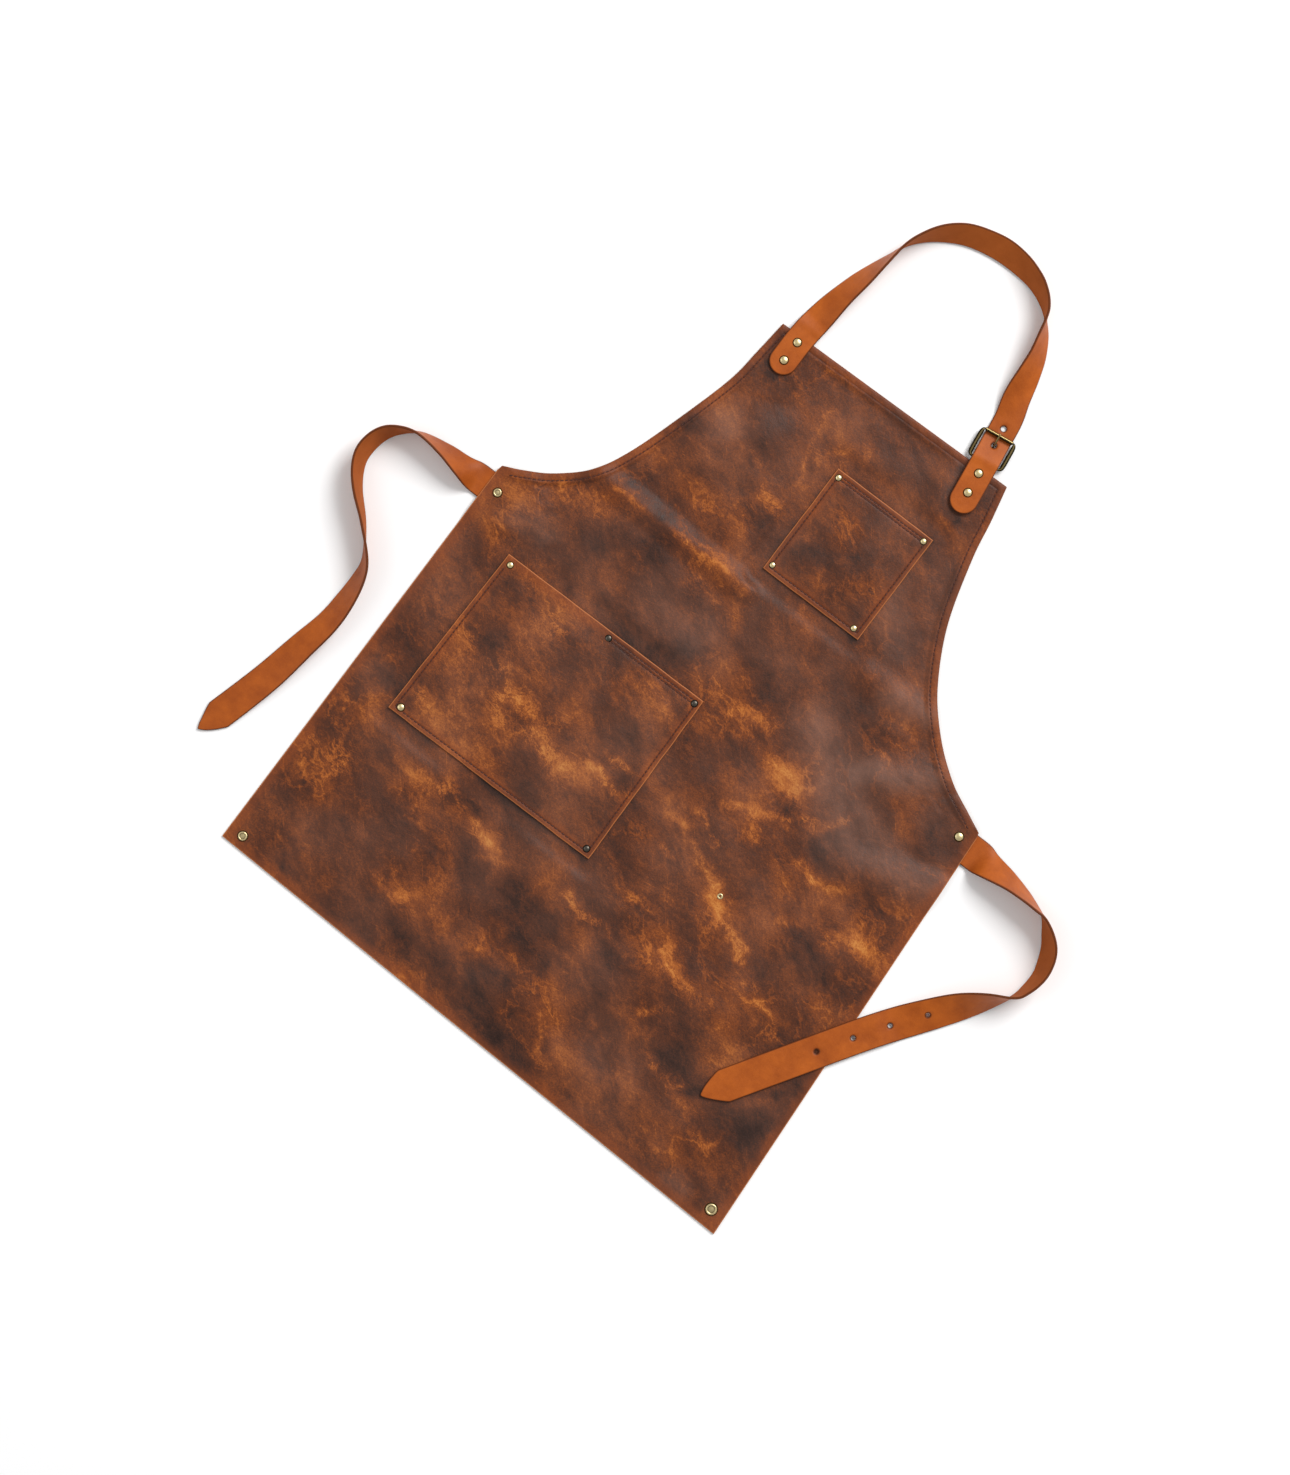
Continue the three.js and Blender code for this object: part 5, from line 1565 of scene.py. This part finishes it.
    def tongue(self, finish: bpy.types.Material, middle: float) -> bpy.types.Object:
        """Builds the prong: a ring round the hinge bar and a bar up through the strap to the roller.

        Args:
            finish: Its material.
            middle: Height of the strap's middle at its hole, from the hinge bar.

        Returns:
            The piece.
        """
        hole = self.cut.leg_holes[0] - self.hinge
        clear = self.wire / 2 + self.prong / 2 + GAP
        over = (self.roller_size + self.prong) / 2 + GAP
        stations = np.array(
            [
                (clear * 0.75, -clear * 0.75),
                (clear * 1.6, middle - self.prong * 0.9),
                (hole - self.prong * 2.8, middle - self.prong * 1.3),
                (hole - self.prong * 1.6, middle - self.prong * 1.3),
                (hole + self.prong * 1.6, middle + self.prong * 1.2),
                (self.length - self.roller_size / 2, over),
                (self.length + self.roller_size * 0.6, over),
            ]
        )
        run = spline(stations, np.linspace(0, 1, 40), True)
        line = [Vector((0, y, z)) for y, z in run]
        sizes = [(self.prong, self.prong)] * 36 + [(1.9, 1.9), (1.75, 1.75), (1.4, 1.4), (0.9, 0.9)]
        shape = bmesh.new()
        sweep(shape, line, sizes, False, 12)
        ring = [
            Vector((0, self.prong_ring * math.cos(a), self.prong_ring * math.sin(a)))
            for a in np.linspace(0, math.tau, 24, endpoint=False)
        ]
        sweep(shape, ring, [(1.8, 1.4)] * len(ring), True, 10, Vector((1, 0, 0)))
        self.shade(shape, lambda co: 0.1 if co.y > self.length * 0.6 else 0.6)
        self.stand(shape)
        return finish_piece("buckle_tongue", shape, finish, ["buckle_prong"], 60)

    def chape(self, finish: bpy.types.Material) -> bpy.types.Object:
        """Builds the chape: a strip folded round the hinge bar, slotted for the prong.

        Args:
            finish: Its material.

        Returns:
            The piece.
        """
        low = HIDE * 2 + GAP + CHAPE_HIDE / 2 - self.level
        high = low + CHAPE_HIDE + GAP
        radius = self.chape_radius
        start = self.chape_end - self.hinge
        angles = np.radians(np.linspace(205, 495, 26))
        loop = [(radius * math.cos(a), radius * math.sin(a)) for a in angles]
        run = [(start, low), (start * 0.6, low), (-radius - 3.0, low)] + loop
        run += [(-radius - 3.0, high), (start * 0.6, high), (start, high)]
        stations = spline(np.array(run), np.linspace(0, 1, 150), False)
        step = np.gradient(stations, axis=0)
        step /= np.linalg.norm(step, axis=1)[:, None]
        outward = np.column_stack([step[:, 1], -step[:, 0]])
        half = self.chape_width / 2
        rim = (0, 0.15, 0.5, 1.1)
        side = graded(half - self.chape_slot, rim, 2.5)
        across = np.concatenate([side, half + self.chape_slot + side])
        open_rows = np.flatnonzero(stations[:, 0] > -5.5)
        middle, reach = (open_rows[0] + open_rows[-1]) / 2, (open_rows[-1] - open_rows[0]) / 2
        slab = Slab(len(across) - 1, len(stations) - 1, [(len(across) / 2 - 0.5, middle, 0.6, reach)])
        aside = across[slab.column] - half
        edge = half - np.abs(aside)
        crown = rounded(edge, 0.8, 0.45)
        here, out = stations[slab.row], outward[slab.row]
        flat = here + out * ((slab.side - 0.5) * CHAPE_HIDE * crown)[:, None]
        spot = self.cut.on_leg(self.hinge)
        plan = spot + self.cut.leg_up * flat[:, :1] + self.cut.leg_right * aside[:, None]
        marks = {"rim": edge, "flesh": 1 - slab.side, "tone": np.full(len(edge), -0.1)}
        shape = slab.place(np.column_stack([plan, flat[:, 1] + self.level]), marks)
        return finish_piece("buckle_keeper_strip", shape, finish, ["buckle_chape"])


# Thread


@dataclass
class Stitching:
    """Rows of stitches: each a short length of thread that dips at both ends."""

    name: str
    pitch: float = 4.6
    long: float = 3.7
    thick: float = 1.15
    # Turn of each stitch against its row, and its height as a share of its width
    slant: float = 0.12
    flatness: float = 0.35
    spots: list[tuple[float, float, float, float]] = field(default_factory=list)

    def run(self, line: np.ndarray, height: Callable[[np.ndarray], np.ndarray]) -> None:
        """Adds a row of stitches.

        Args:
            line: Points of the row in plan.
            height: Height of the leather there.
        """
        run = lengths(line)
        count = max(int(run[-1] / self.pitch), 1)
        places = (np.arange(count) + 0.5) * run[-1] / count
        x, y = np.interp(places, run, line[:, 0]), np.interp(places, run, line[:, 1])
        ahead_x, ahead_y = np.interp(places + 0.5, run, line[:, 0]), np.interp(places + 0.5, run, line[:, 1])
        levels = height(np.column_stack([x, y]))
        for k in range(count):
            self.spots.append((x[k], y[k], levels[k], math.atan2(ahead_y[k] - y[k], ahead_x[k] - x[k])))

    def build(self, finish: bpy.types.Material) -> bpy.types.Object:
        """Builds the stitches as one piece.

        Args:
            finish: The thread's material.

        Returns:
            The piece.
        """
        shape = bmesh.new()
        for x, y, z, angle in self.spots:
            place = (
                Matrix.Translation((x * MM, y * MM, z * MM))
                @ Matrix.Rotation(angle + self.slant, 4, "Z")
                @ Matrix.Diagonal((self.long * MM / 2, self.thick * MM / 2, self.thick * MM * self.flatness, 1))
            )
            bmesh.ops.create_icosphere(shape, subdivisions=2, radius=1.0, matrix=place)
        return finish_piece(self.name, shape, finish, [], 80)


# Stage


@dataclass
class Studio:
    """Pale floor, soft light and the camera over the apron."""

    camera_x: float = -22.8
    camera_y: float = -127.0
    camera_z: float = 4097.0
    camera_roll: float = 37.2
    lens: float = 100.0
    # Place in metres, side and power of each light, and the point that they face
    key: tuple[tuple[float, float, float], float, float] = ((1.1, 5.0, 5.2), 3.6, 490.0)
    fill: tuple[tuple[float, float, float], float, float] = ((-4.0, -2.4, 4.2), 4.0, 60.0)
    aim: tuple[float, float, float] = (0, -0.08, 0)
    air: float = 0.48
    floor_reach: float = 6.0
    floor_drop: float = 0.4

    def build(self, paper: bpy.types.Material) -> None:
        """Builds the stage.

        Args:
            paper: The floor's finish.
        """
        shape = bmesh.new()
        bmesh.ops.create_grid(shape, x_segments=1, y_segments=1, size=self.floor_reach)
        mesh = bpy.data.meshes.new("floor")
        shape.to_mesh(mesh)
        shape.free()
        mesh.transform(Matrix.Translation((0, 0, -self.floor_drop * MM)))
        mesh.materials.append(paper)
        floor = bpy.data.objects.new("floor", mesh)
        bpy.context.scene.collection.objects.link(floor)
        self.light("key_light", *self.key)
        self.light("fill_light", *self.fill)
        world = bpy.data.worlds.new("studio_air")
        world.use_nodes = True
        background = world.node_tree.nodes["Background"]
        background.inputs["Color"].default_value = linear("#ffffff")
        background.inputs["Strength"].default_value = self.air
        bpy.context.scene.world = world
        data = bpy.data.cameras.new("camera")
        data.lens = self.lens
        data.sensor_width = 36.0
        data.clip_end = 50.0
        camera = bpy.data.objects.new("camera", data)
        camera.location = (self.camera_x * MM, self.camera_y * MM, self.camera_z * MM)
        camera.rotation_euler = (0.0, 0.0, math.radians(self.camera_roll))
        bpy.context.scene.collection.objects.link(camera)
        bpy.context.scene.camera = camera
        bpy.context.scene.view_settings.view_transform = "Standard"

    def light(self, name: str, at: tuple[float, float, float], size: float, power: float) -> None:
        """Adds a soft light that faces the apron.

        Args:
            name: Its name.
            at: Its place in metres.
            size: Its side in metres.
            power: Its power in watts.
        """
        data = bpy.data.lights.new(name, "AREA")
        data.size = size
        data.energy = power
        light = bpy.data.objects.new(name, data)
        light.location = at
        light.rotation_euler = (Vector(self.aim) - Vector(at)).to_track_quat("-Z", "Y").to_euler()
        bpy.context.scene.collection.objects.link(light)


# The apron's own numbers


# Where bending has driven the wax out of the hide, or where it has gathered: points of a line or a dot, width, tone
HIDE_STROKES = (
    (-204, 50, -163, 55, -109, 52, -61, 56, 5, 0.6), (-61, 56, -23, 47, 5, 0.7), (-34, 53, -29, 51, 9, 0.6),
    (-237, 21, -201, 26, 24, 0.5), (-75, 25, -61, 4, 20, 0.5), (-22, 25, -15, 11, 11, 0.5),
    (-105, 109, -73, 131, -42, 128, 12, 0.55), (-71, 250, -64, 198, -50, 163, 5, 0.55),
    (-115, 169, -96, 161, -71, 132, 4, 0.5), (-17, 243, -11, 243, 14, 0.5), (-33, 221, -50, 202, 7, 0.6),
    (65, -154, 97, -169, 6, 1), (52, -123, 62, -127, 5, 0.8), (44, -180, 64, -171, 6, 0.7),
    (56, -202, 69, -206, 5, 1), (78, -183, 106, -186, 6, 0.7),
    (99, -192, 145, -221, 180, -240, 199, -254, 234, -269, 263, -286, 8, 1), (31, -250, 61, -260, 78, -262, 6, 1),
    (82, -238, 99, -240, 6, 0.7), (16, -239, 33, -242, 6, 0.7), (86, -67, 122, -79, 13, 0.6),
    (35, -46, 65, -42, 14, 0.7), (4, -89, 20, -89, 8, 0.6), (85, -133, 139, -110, 173, -88, 186, -62, 8, 0.85),
    (180, -74, 187, -74, 6, 0.8), (107, -132, 131, -145, 7, 0.6), (170, -132, 201, -134, 231, -127, 8, 0.85),
    (196, -199, 210, -188, 7, 0.6), (245, -174, 270, -165, 307, -168, 13, 0.7), (228, -203, 238, -208, 6, 0.5),
    (124, -270, 128, -289, 7, 0.6), (140, -268, 144, -285, 7, 0.6), (109, -309, 161, -298, 18, 0.4),
    (118, -354, 142, -343, 162, -332, 7, 0.7), (196, 55, 244, 17, 12, 0.5), (-265, -312, -245, -327, 12, 0.6),
    (-290, -295, -239, -343, 16, 0.45), (-284, -361, -278, -361, 11, 0.5),
    (-209, -294, -147, -286, -87, -298, 10, 0.7), (-174, -335, -110, -334, 8, 0.5), (-273, -416, -249, -423, 9, 0.5),
    (-192, -438, -166, -447, 8, 0.4), (-139, -402, -108, -397, 9, 0.5), (-105, -299, -77, -305, 9, 0.6),
    (-87, -323, -53, -314, 8, 0.5), (15, -293, 44, -306, 7, 0.7), (-28, -368, -16, -375, 6, 0.5),
    (12, -298, 43, -305, 63, -304, 97, -314, 7, 0.75), (-33, -400, 2, -400, 8, 0.5), (135, -293, 163, -298, 8, 0.5),
    (106, -391, 111, -390, 5, 0.6), (157, -363, 188, -380, 214, -387, 232, -398, 6, 0.8),
    (145, -412, 160, -418, 7, 0.5), (257, -405, 293, -404, 11, 0.6), (222, -456, 251, -446, 11, 0.5),
    (62, -414, 73, -437, 93, -449, 5, 0.9), (243, -177, 262, -186, 6, 0.5), (-266, -13, -234, -14, 26, 0.35),
    (-277, -147, -221, -155, 26, 0.35), (-257, -257, -256, -307, 24, 0.35), (-192, 76, 20, -0.7),
    (-142, 62, 18, -0.6), (-176, 1, 14, -0.6), (-135, -47, 18, -0.6), (-115, 198, 14, -0.6), (-33, -40, 14, -0.6),
    (216, -39, 20, -0.6), (128, -106, 15, -0.6), (66, -82, 20, -0.7), (188, -99, 14, -0.6), (228, -222, 28, -0.7),
    (253, -143, 18, -0.7), (198, -344, 24, -0.6), (3, -195, 12, -0.6), (76, -281, 15, -0.7), (168, 20, 14, -0.5),
    (-212, -303, 15, -0.6), (-174, -309, 14, -0.6), (-266, -366, 12, -0.6), (-214, -368, 18, -0.6),
    (-226, -445, 12, -0.9), (-148, -411, 14, -0.6), (-110, -357, 14, -0.6), (-83, -429, 22, -0.6),
    (2, -326, 20, -0.6), (-10, -362, 14, -0.6), (-10, -425, 16, -0.7), (-261, -230, 12, -0.5), (37, -360, 38, -0.6),
    (-29, -326, 15, -0.6), (-9, -435, 16, -0.6), (15, -410, 10, -0.6), (137, -428, 14, -0.6), (172, -435, 16, -0.6),
    (298, -380, 20, -0.9), (323, -439, 12, -0.6), (41, -448, 10, -0.9), (-134, 11, 20, -0.5), (-38, -16, 22, -0.4),
    (-86, -52, 20, -0.5), (40, -20, 16, -0.4),
)
# Painted grey sheen where the light glances off folds and swells: points of a line, width, strength
HIDE_PAINTED_SHEEN = (
    (112, -17, 172, -60, 34, 0.7), (204, -87, 292, -72, 30, 0.6), (-150, 178, -139, 171, 26, 0.5),
    (-253, -26, -227, -25, 18, 0.5), (-280, -240, -273, -244, 20, 0.35), (270, -464, 277, -467, 16, 0.4),
    (-131, -150, -95, -147, 20, 0.4), (152, 53, 190, 57, 18, 0.6), (169, -24, 233, 11, 16, 0.7),
    (-94, -8, -38, -16, 34, 0.45), (63, 149, 121, 105, 26, 0.5),
)
# Where bending has driven the wax out of the lap pocket, or where it has gathered: points of a line or a dot, width,
# tone
LAP_STROKES = (
    (-235, -145, -220, -149, 10, 0.8), (-188, -149, -158, -181, 10, 0.6), (-161, -188, -147, -193, 9, 0.7),
    (-115, -194, -95, -204, 9, 1.1), (-143, -174, -138, -172, 10, 0.5), (-106, -171, -101, -172, 9, 0.5),
    (-96, -202, -74, -202, 9, 0.7), (-229, -229, -221, -230, 12, 0.6), (-176, -76, -154, -92, 9, 0.6),
    (-54, -182, -37, -178, -13, -184, 4, 1), (-38, -160, -27, -159, -17, -163, 4, 0.9), (-15, -179, -5, -179, 4, 0.8),
    (-103, -226, 16, -1), (-215, -206, 10, -0.6), (-208, -130, 14, -0.8), (-216, -99, 13, -0.7),
    (-124, -126, 14, -0.6), (-66, -144, 30, -0.8), (-39, -229, 25, -0.6), (-129, -227, 8, -0.5),
    (-25, -132, 22, -0.6), (-231, -125, 12, -0.5),
)
# The same for the chest pocket
CHEST_STROKES = (
    (-18, 137, -13, 136, 9, 0.7), (23, 101, 28, 99, 9, 0.6), (41, 104, 57, 107, 8, 0.5), (-10, 179, 15, -0.8),
    (-12, 122, 14, -0.7), (78, 109, 12, -0.3), (41, 144, 24, -0.5),
)

# Painted shadow that straps and pockets cast on the hide, along their lower and left sides, away from the light: points
# of a line, width, tone
HIDE_PAINTED_SHADOW = (
    (-157, 284, -157, 254, 4, -1.6), (-157, 254, -151, 242, 5, -2.4), (-151, 242, -138, 237, 4, -2.2),
    (66, 284, 73, 248, 4, -1.6), (73, 248, 80, 237, 5, -2.4), (80, 237, 93, 234, 4, -2.2),
    (-246, -255, -242, -66, 3, -0.7), (-244, -260, 2, -260, 3.5, -1.3), (-33, 78, -33, 202, 3, -0.6),
    (-30, 77, 86, 77, 3, -1.1), (218, -389, 300, -330, 5, -1),
)

NECK_STATIONS = (
    (0.004, 0.03, 0), (0.014, 0.13, 14), (0.033, 0.28, 37), (0.063, 0.436, 53), (0.1, 0.606, 78),
    (0.127, 0.718, 91), (0.175, 0.81, 105), (0.235, 0.885, 120), (0.31, 0.945, 131), (0.395, 0.98, 136),
    (0.488, 1, 140), (0.58, 0.997, 134), (0.668, 0.976, 122), (0.726, 0.947, 113), (0.773, 0.91, 104),
    (0.811, 0.863, 92), (0.853, 0.775, 69), (0.89, 0.667, 52), (0.912, 0.553, 35), (0.932, 0.424, 14),
)
TIE_LEFT_STATIONS = (
    (-0.11, 0, 0), (0, 0, 0), (0.17, 0, 0), (0.31, 0, 38), (0.51, -0.005, 62), (0.735, 0, 83),
    (0.88, 0.027, 100), (0.966, 0.064, 111), (1, 0.116, 115), (0.973, 0.164, 110), (0.867, 0.219, 103),
    (0.673, 0.284, 94), (0.498, 0.357, 78), (0.444, 0.41, 62), (0.424, 0.484, 48), (0.431, 0.559, 39),
    (0.48, 0.65, 28), (0.552, 0.78, 12), (0.678, 0.943, 0), (0.733, 1, 0),
)
TIE_RIGHT_STATIONS = (
    (-0.12, 0.012, 0), (0, 0.012, 0), (0.17, 0.012, 0), (0.28, 0.014, 34), (0.44, 0.014, 56),
    (0.59, 0.02, 70), (0.706, 0.029, 81), (0.787, 0.038, 90), (0.874, 0.067, 104), (0.94, 0.097, 111),
    (0.98, 0.133, 112), (1, 0.174, 107), (0.985, 0.222, 100), (0.948, 0.261, 90), (0.816, 0.319, 57),
    (0.688, 0.378, 32), (0.558, 0.446, 16), (0.422, 0.52, 3), (0.28, 0.603, 0), (0.018, 0.77, 0),
    (-0.25, 0.941, 0), (-0.337, 1, 0),
)
# Stitch lines of the pockets as shares of the width and height: x0, y0, x1, y1
CHEST_SEAMS = (
    (0.042, 0.04, 0.042, 0.96), (0.958, 0.04, 0.958, 0.96), (0.042, 0.04, 0.958, 0.04),
    (0.042, 0.96, 0.958, 0.96), (0.042, 0.935, 0.958, 0.935),
)
LAP_SEAMS = (
    (0.02, 0.025, 0.02, 0.93), (0.98, 0.025, 0.98, 0.975), (0.02, 0.025, 0.98, 0.025),
    (0.55, 0.975, 0.98, 0.975), (0.55, 0.957, 0.96, 0.957),
)
# Rivets of each pocket: corner, place as shares of the width and height, cap, and whether it is blackened
CHEST_RIVETS = (
    ("top_left", 0.05, 0.94, 5.6, False), ("top_right", 0.94, 0.945, 5.6, False),
    ("bottom_left", 0.05, 0.065, 5.2, False), ("bottom_right", 0.915, 0.055, 5.6, False),
)
LAP_RIVETS = (
    ("top_left", 0.033, 0.958, 5.8, False), ("bottom_left", 0.04, 0.039, 7, False),
    ("top_middle", 0.534, 0.963, 6, True), ("top_right", 0.975, 0.963, 6, True),
    ("bottom_right", 0.97, 0.037, 6, True),
)


@dataclass
class Apron:
    """The whole apron: it builds its parts in order and hands each what it lies on."""

    cut: HideCut
    hide_finish: bpy.types.Material
    strap_finish: bpy.types.Material
    brass: bpy.types.Material
    black: bpy.types.Material
    buckle_brass: bpy.types.Material
    thread: bpy.types.Material
    # How far the ties reach across and along from their rivets, and the neck loop up from the bib
    tie_left_reach: tuple[float, float] = (-131, -369)
    tie_right_reach: tuple[float, float] = (147, -362)
    loop_rise: float = 188.0
    # How far from its rivet the right tie comes out from under the hide, and its holes, from its point
    tucked: float = 85.0
    tie_holes: tuple[float, ...] = (124, 163, 202, 241)
    # How deep stitches sink into the hide's edge and into the pockets
    edge_sunk: float = 0.05
    pocket_sunk: float = 0.1

    def build_straps(self, buckle: Buckle) -> Strap:
        """Builds the two ties and the neck strap.

        Args:
            buckle: The buckle, on whose chape the neck strap lies.

        Returns:
            The neck strap.
        """
        rivet_left, rivet_right = self.cut.waist_rivets
        left = np.array(TIE_LEFT_STATIONS) * (*self.tie_left_reach, 1) + (*rivet_left, 0)
        right = np.array(TIE_RIGHT_STATIONS) * (*self.tie_right_reach, 1) + (*rivet_right, 0)
        tips, tip_lengths = (Tip.SQUARE, Tip.POINTED), (0, 25)

        def table_top(spots: np.ndarray) -> np.ndarray:
            """Height under the left tie, which lies on the table."""
            return np.zeros(len(spots))

        def over_hide(spots: np.ndarray) -> np.ndarray:
            """Height under the right tie, which starts beneath the hide."""
            far = np.linalg.norm(spots - rivet_right, axis=1) > self.tucked
            return np.where(far, self.cut.ground(spots), 0)

        tie = Strap("tie_left_strap", "tie_left", left, 31, 1, 0.12, table_top, tips, tip_lengths, shade=-0.1)
        tie.build(self.strap_finish)
        tie = Strap("tie_right_strap", "tie_right", right, 34, -1, 0.12, over_hide, tips, tip_lengths)
        tie.holes = tuple(tie.length - back for back in self.tie_holes)
        tie.build(self.strap_finish)
        neck = self.neck_strap(buckle)
        neck.build(self.strap_finish)
        return neck

    def neck_strap(self, buckle: Buckle) -> Strap:
        """Plans the neck strap along its tab, loop and right leg.

        Args:
            buckle: The buckle, on whose chape it lies.

        Returns:
            The strap.
        """
        cut = self.cut
        start, end = cut.neck_left, cut.neck_right
        level = (cut.bib_left[1] + cut.bib_right[1]) / 2
        tab = [(start[0], start[1] - cut.neck_tab * share, 0) for share in (1, 0.5, 0)]
        loop = np.array(NECK_STATIONS) * (end[0] - start[0], self.loop_rise, 1) + (start[0], level, 0)
        low_hole, high_hole = cut.leg_holes
        leg = [(*cut.on_leg(along), 0) for along in (high_hole + 9.25, low_hole, 0, -cut.leg_tab)]
        bulge = buckle.chape_radius + CHAPE_HIDE / 2

        def over_chape(spots: np.ndarray) -> np.ndarray:
            """Height under the neck strap: the chape and its loop at the right leg, the hide elsewhere."""
            along = (spots - end) @ cut.leg_up
            aside = np.abs((spots - end) @ cut.leg_right)
            hide = cut.ground(spots)
            beside = (aside > cut.neck_width) | (along < -1.5 * cut.leg_tab) | (along > buckle.hinge + bulge)
            round_bar = np.where(along > buckle.hinge - bulge, buckle.level + bulge, 0)
            return np.where(beside, hide, np.maximum(hide, np.maximum(buckle.chape_top, round_bar) + GAP))

        strap = Strap(
            "neck_strap_band",
            "neck_strap",
            np.vstack([tab, loop, leg]),
            cut.neck_width,
            -1,
            0.38,
            over_chape,
            (Tip.ROUND, Tip.ROUND),
            (cut.neck_width / 2, cut.neck_width / 2),
            hole=5.6,
        )
        strap.holes = tuple(strap.length - cut.leg_tab - along for along in (high_hole, low_hole))
        return strap

    def build_rivets(self, neck: Strap, pockets: Sequence[Pocket]) -> None:
        """Builds every rivet and the eyelet.

        Args:
            neck: The neck strap, for how high it lies.
            pockets: The small and the large pocket.
        """
        cut = self.cut
        rivets = []
        for size, pocket, table in zip(("small", "large"), pockets, (CHEST_RIVETS, LAP_RIVETS)):
            for corner, across, up, cap, black in table:
                name = f"rivet_{size}_pocket_{corner}"
                rivets.append(Rivet(name, tuple(pocket.spot(across, up)), 0, HIDE * 2 + GAP, cap, black=black))
        for side, at, cap in zip(("left", "right"), cut.hem_rivets, (9.6, 12)):
            rivets.append(Rivet(f"rivet_hem_{side}", at, 0, HIDE, cap, Cap.RINGED))
        for side, at, cap, style in zip(("left", "right"), cut.waist_rivets, (8.5, 8.7), (Cap.RINGED, Cap.DOMED)):
            rivets.append(Rivet(f"rivet_waist_{side}", tuple(at), 0, float(cut.top(at[None])[0]), cap, style))
        leg = neck.length - cut.leg_tab
        for name, at, distance in (
            ("rivet_neck_left_top", cut.neck_left, cut.neck_tab),
            ("rivet_neck_left_bottom", cut.neck_left - (0, cut.rivet_drop), cut.neck_tab - cut.rivet_drop),
            ("rivet_neck_right_top", cut.on_leg(0), leg),
            ("rivet_neck_right_bottom", cut.on_leg(-cut.rivet_drop), leg + cut.rivet_drop),
        ):
            top = max(neck.seat_at(distance + side) for side in (-4, 0, 4)) + STRAP_HIDE
            rivets.append(Rivet(name, tuple(at), float(cut.lift(at[None])[0]), top, 8))
        for rivet in rivets:
            rivet.build(self.brass, self.black)
        Eyelet(cut.eyelet).build(self.brass)

    def build_stitches(self, pockets: Sequence[Pocket]) -> None:
        """Sews the turned edge and the pockets.

        Args:
            pockets: The pockets.
        """
        cut = self.cut
        edge = cut.bib_line(400)
        ahead = np.gradient(edge, axis=0)
        ahead /= np.linalg.norm(ahead, axis=1)[:, None]
        inside = edge + np.column_stack([ahead[:, 1], -ahead[:, 0]]) * cut.seam
        # The row stops at the neck strap's two ends and where the edge bends too sharply for it.
        clear = np.abs(cut.turned(inside) - cut.seam) < 0.4
        beside, below = cut.neck_width / 2 + 1.5, inside[:, 1] < 230
        clear &= (np.abs(inside[:, 0] - cut.neck_left[0]) > beside) | below
        clear &= (np.abs((inside - cut.neck_right) @ cut.leg_right) > beside) | below
        border = Stitching("edge_stitches", thick=1.05)
        breaks = np.flatnonzero(np.diff(clear.astype(int))) + 1
        for stretch in np.split(np.arange(len(inside)), breaks):
            if clear[stretch[0]] and len(stretch) > 6:
                border.run(inside[stretch], lambda spots: cut.top(spots) - self.edge_sunk)
        border.build(self.thread)
        sewn = Stitching("pocket_stitches")
        for pocket in pockets:
            for seam in pocket.seams:
                line = np.array([pocket.spot(*seam[:2]), pocket.spot(*seam[2:])])
                sewn.run(line, lambda spots: pocket.seam_top(seam, spots) - self.pocket_sunk)
        sewn.build(self.thread)

    def build(self) -> None:
        """Builds the whole apron."""
        cut = self.cut
        ApronHide(cut, tones=HIDE_STROKES, painted_sheens=HIDE_PAINTED_SHEEN, painted_shadow=HIDE_PAINTED_SHADOW).build(self.hide_finish)
        chest, lap = cut.pockets
        small = Pocket("chest_pocket", "pocket_small", *chest, 119, CHEST_SEAMS, -0.1, CHEST_STROKES)
        large = Pocket("lap_pocket", "pocket_large", *lap, 244, LAP_SEAMS, 0.35, LAP_STROKES)
        small.build(self.hide_finish)
        large.build(self.hide_finish)
        buckle = Buckle(cut)
        neck = self.build_straps(buckle)
        self.build_rivets(neck, (small, large))
        buckle.frame(self.buckle_brass)
        buckle.roller_tube(self.buckle_brass)
        middle = neck.seat_at(neck.length - cut.leg_tab - cut.leg_holes[0]) + STRAP_HIDE / 2 - buckle.level
        buckle.tongue(self.buckle_brass, middle)
        buckle.chape(self.strap_finish)
        self.build_stitches((small, large))


def main() -> None:
    """Builds the stage and the apron."""
    logging.basicConfig(level=logging.INFO, format="%(name)s: %(message)s")
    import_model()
    Studio().build(StudioPaper().build())
    apron = Apron(
        HideCut(),
        PullUpHide().build(),
        StrapLeather().build(),
        AgedBrass().build(),
        AgedBrass("blackened_brass", "#5a544c", "#15120f", 0.35).build(),
        AgedBrass("buckle_brass", "#8f7b50", "#2c2616", 0.3).build(),
        WaxedThread().build(),
    )
    apron.build()


if __name__ == "__main__":
    main()
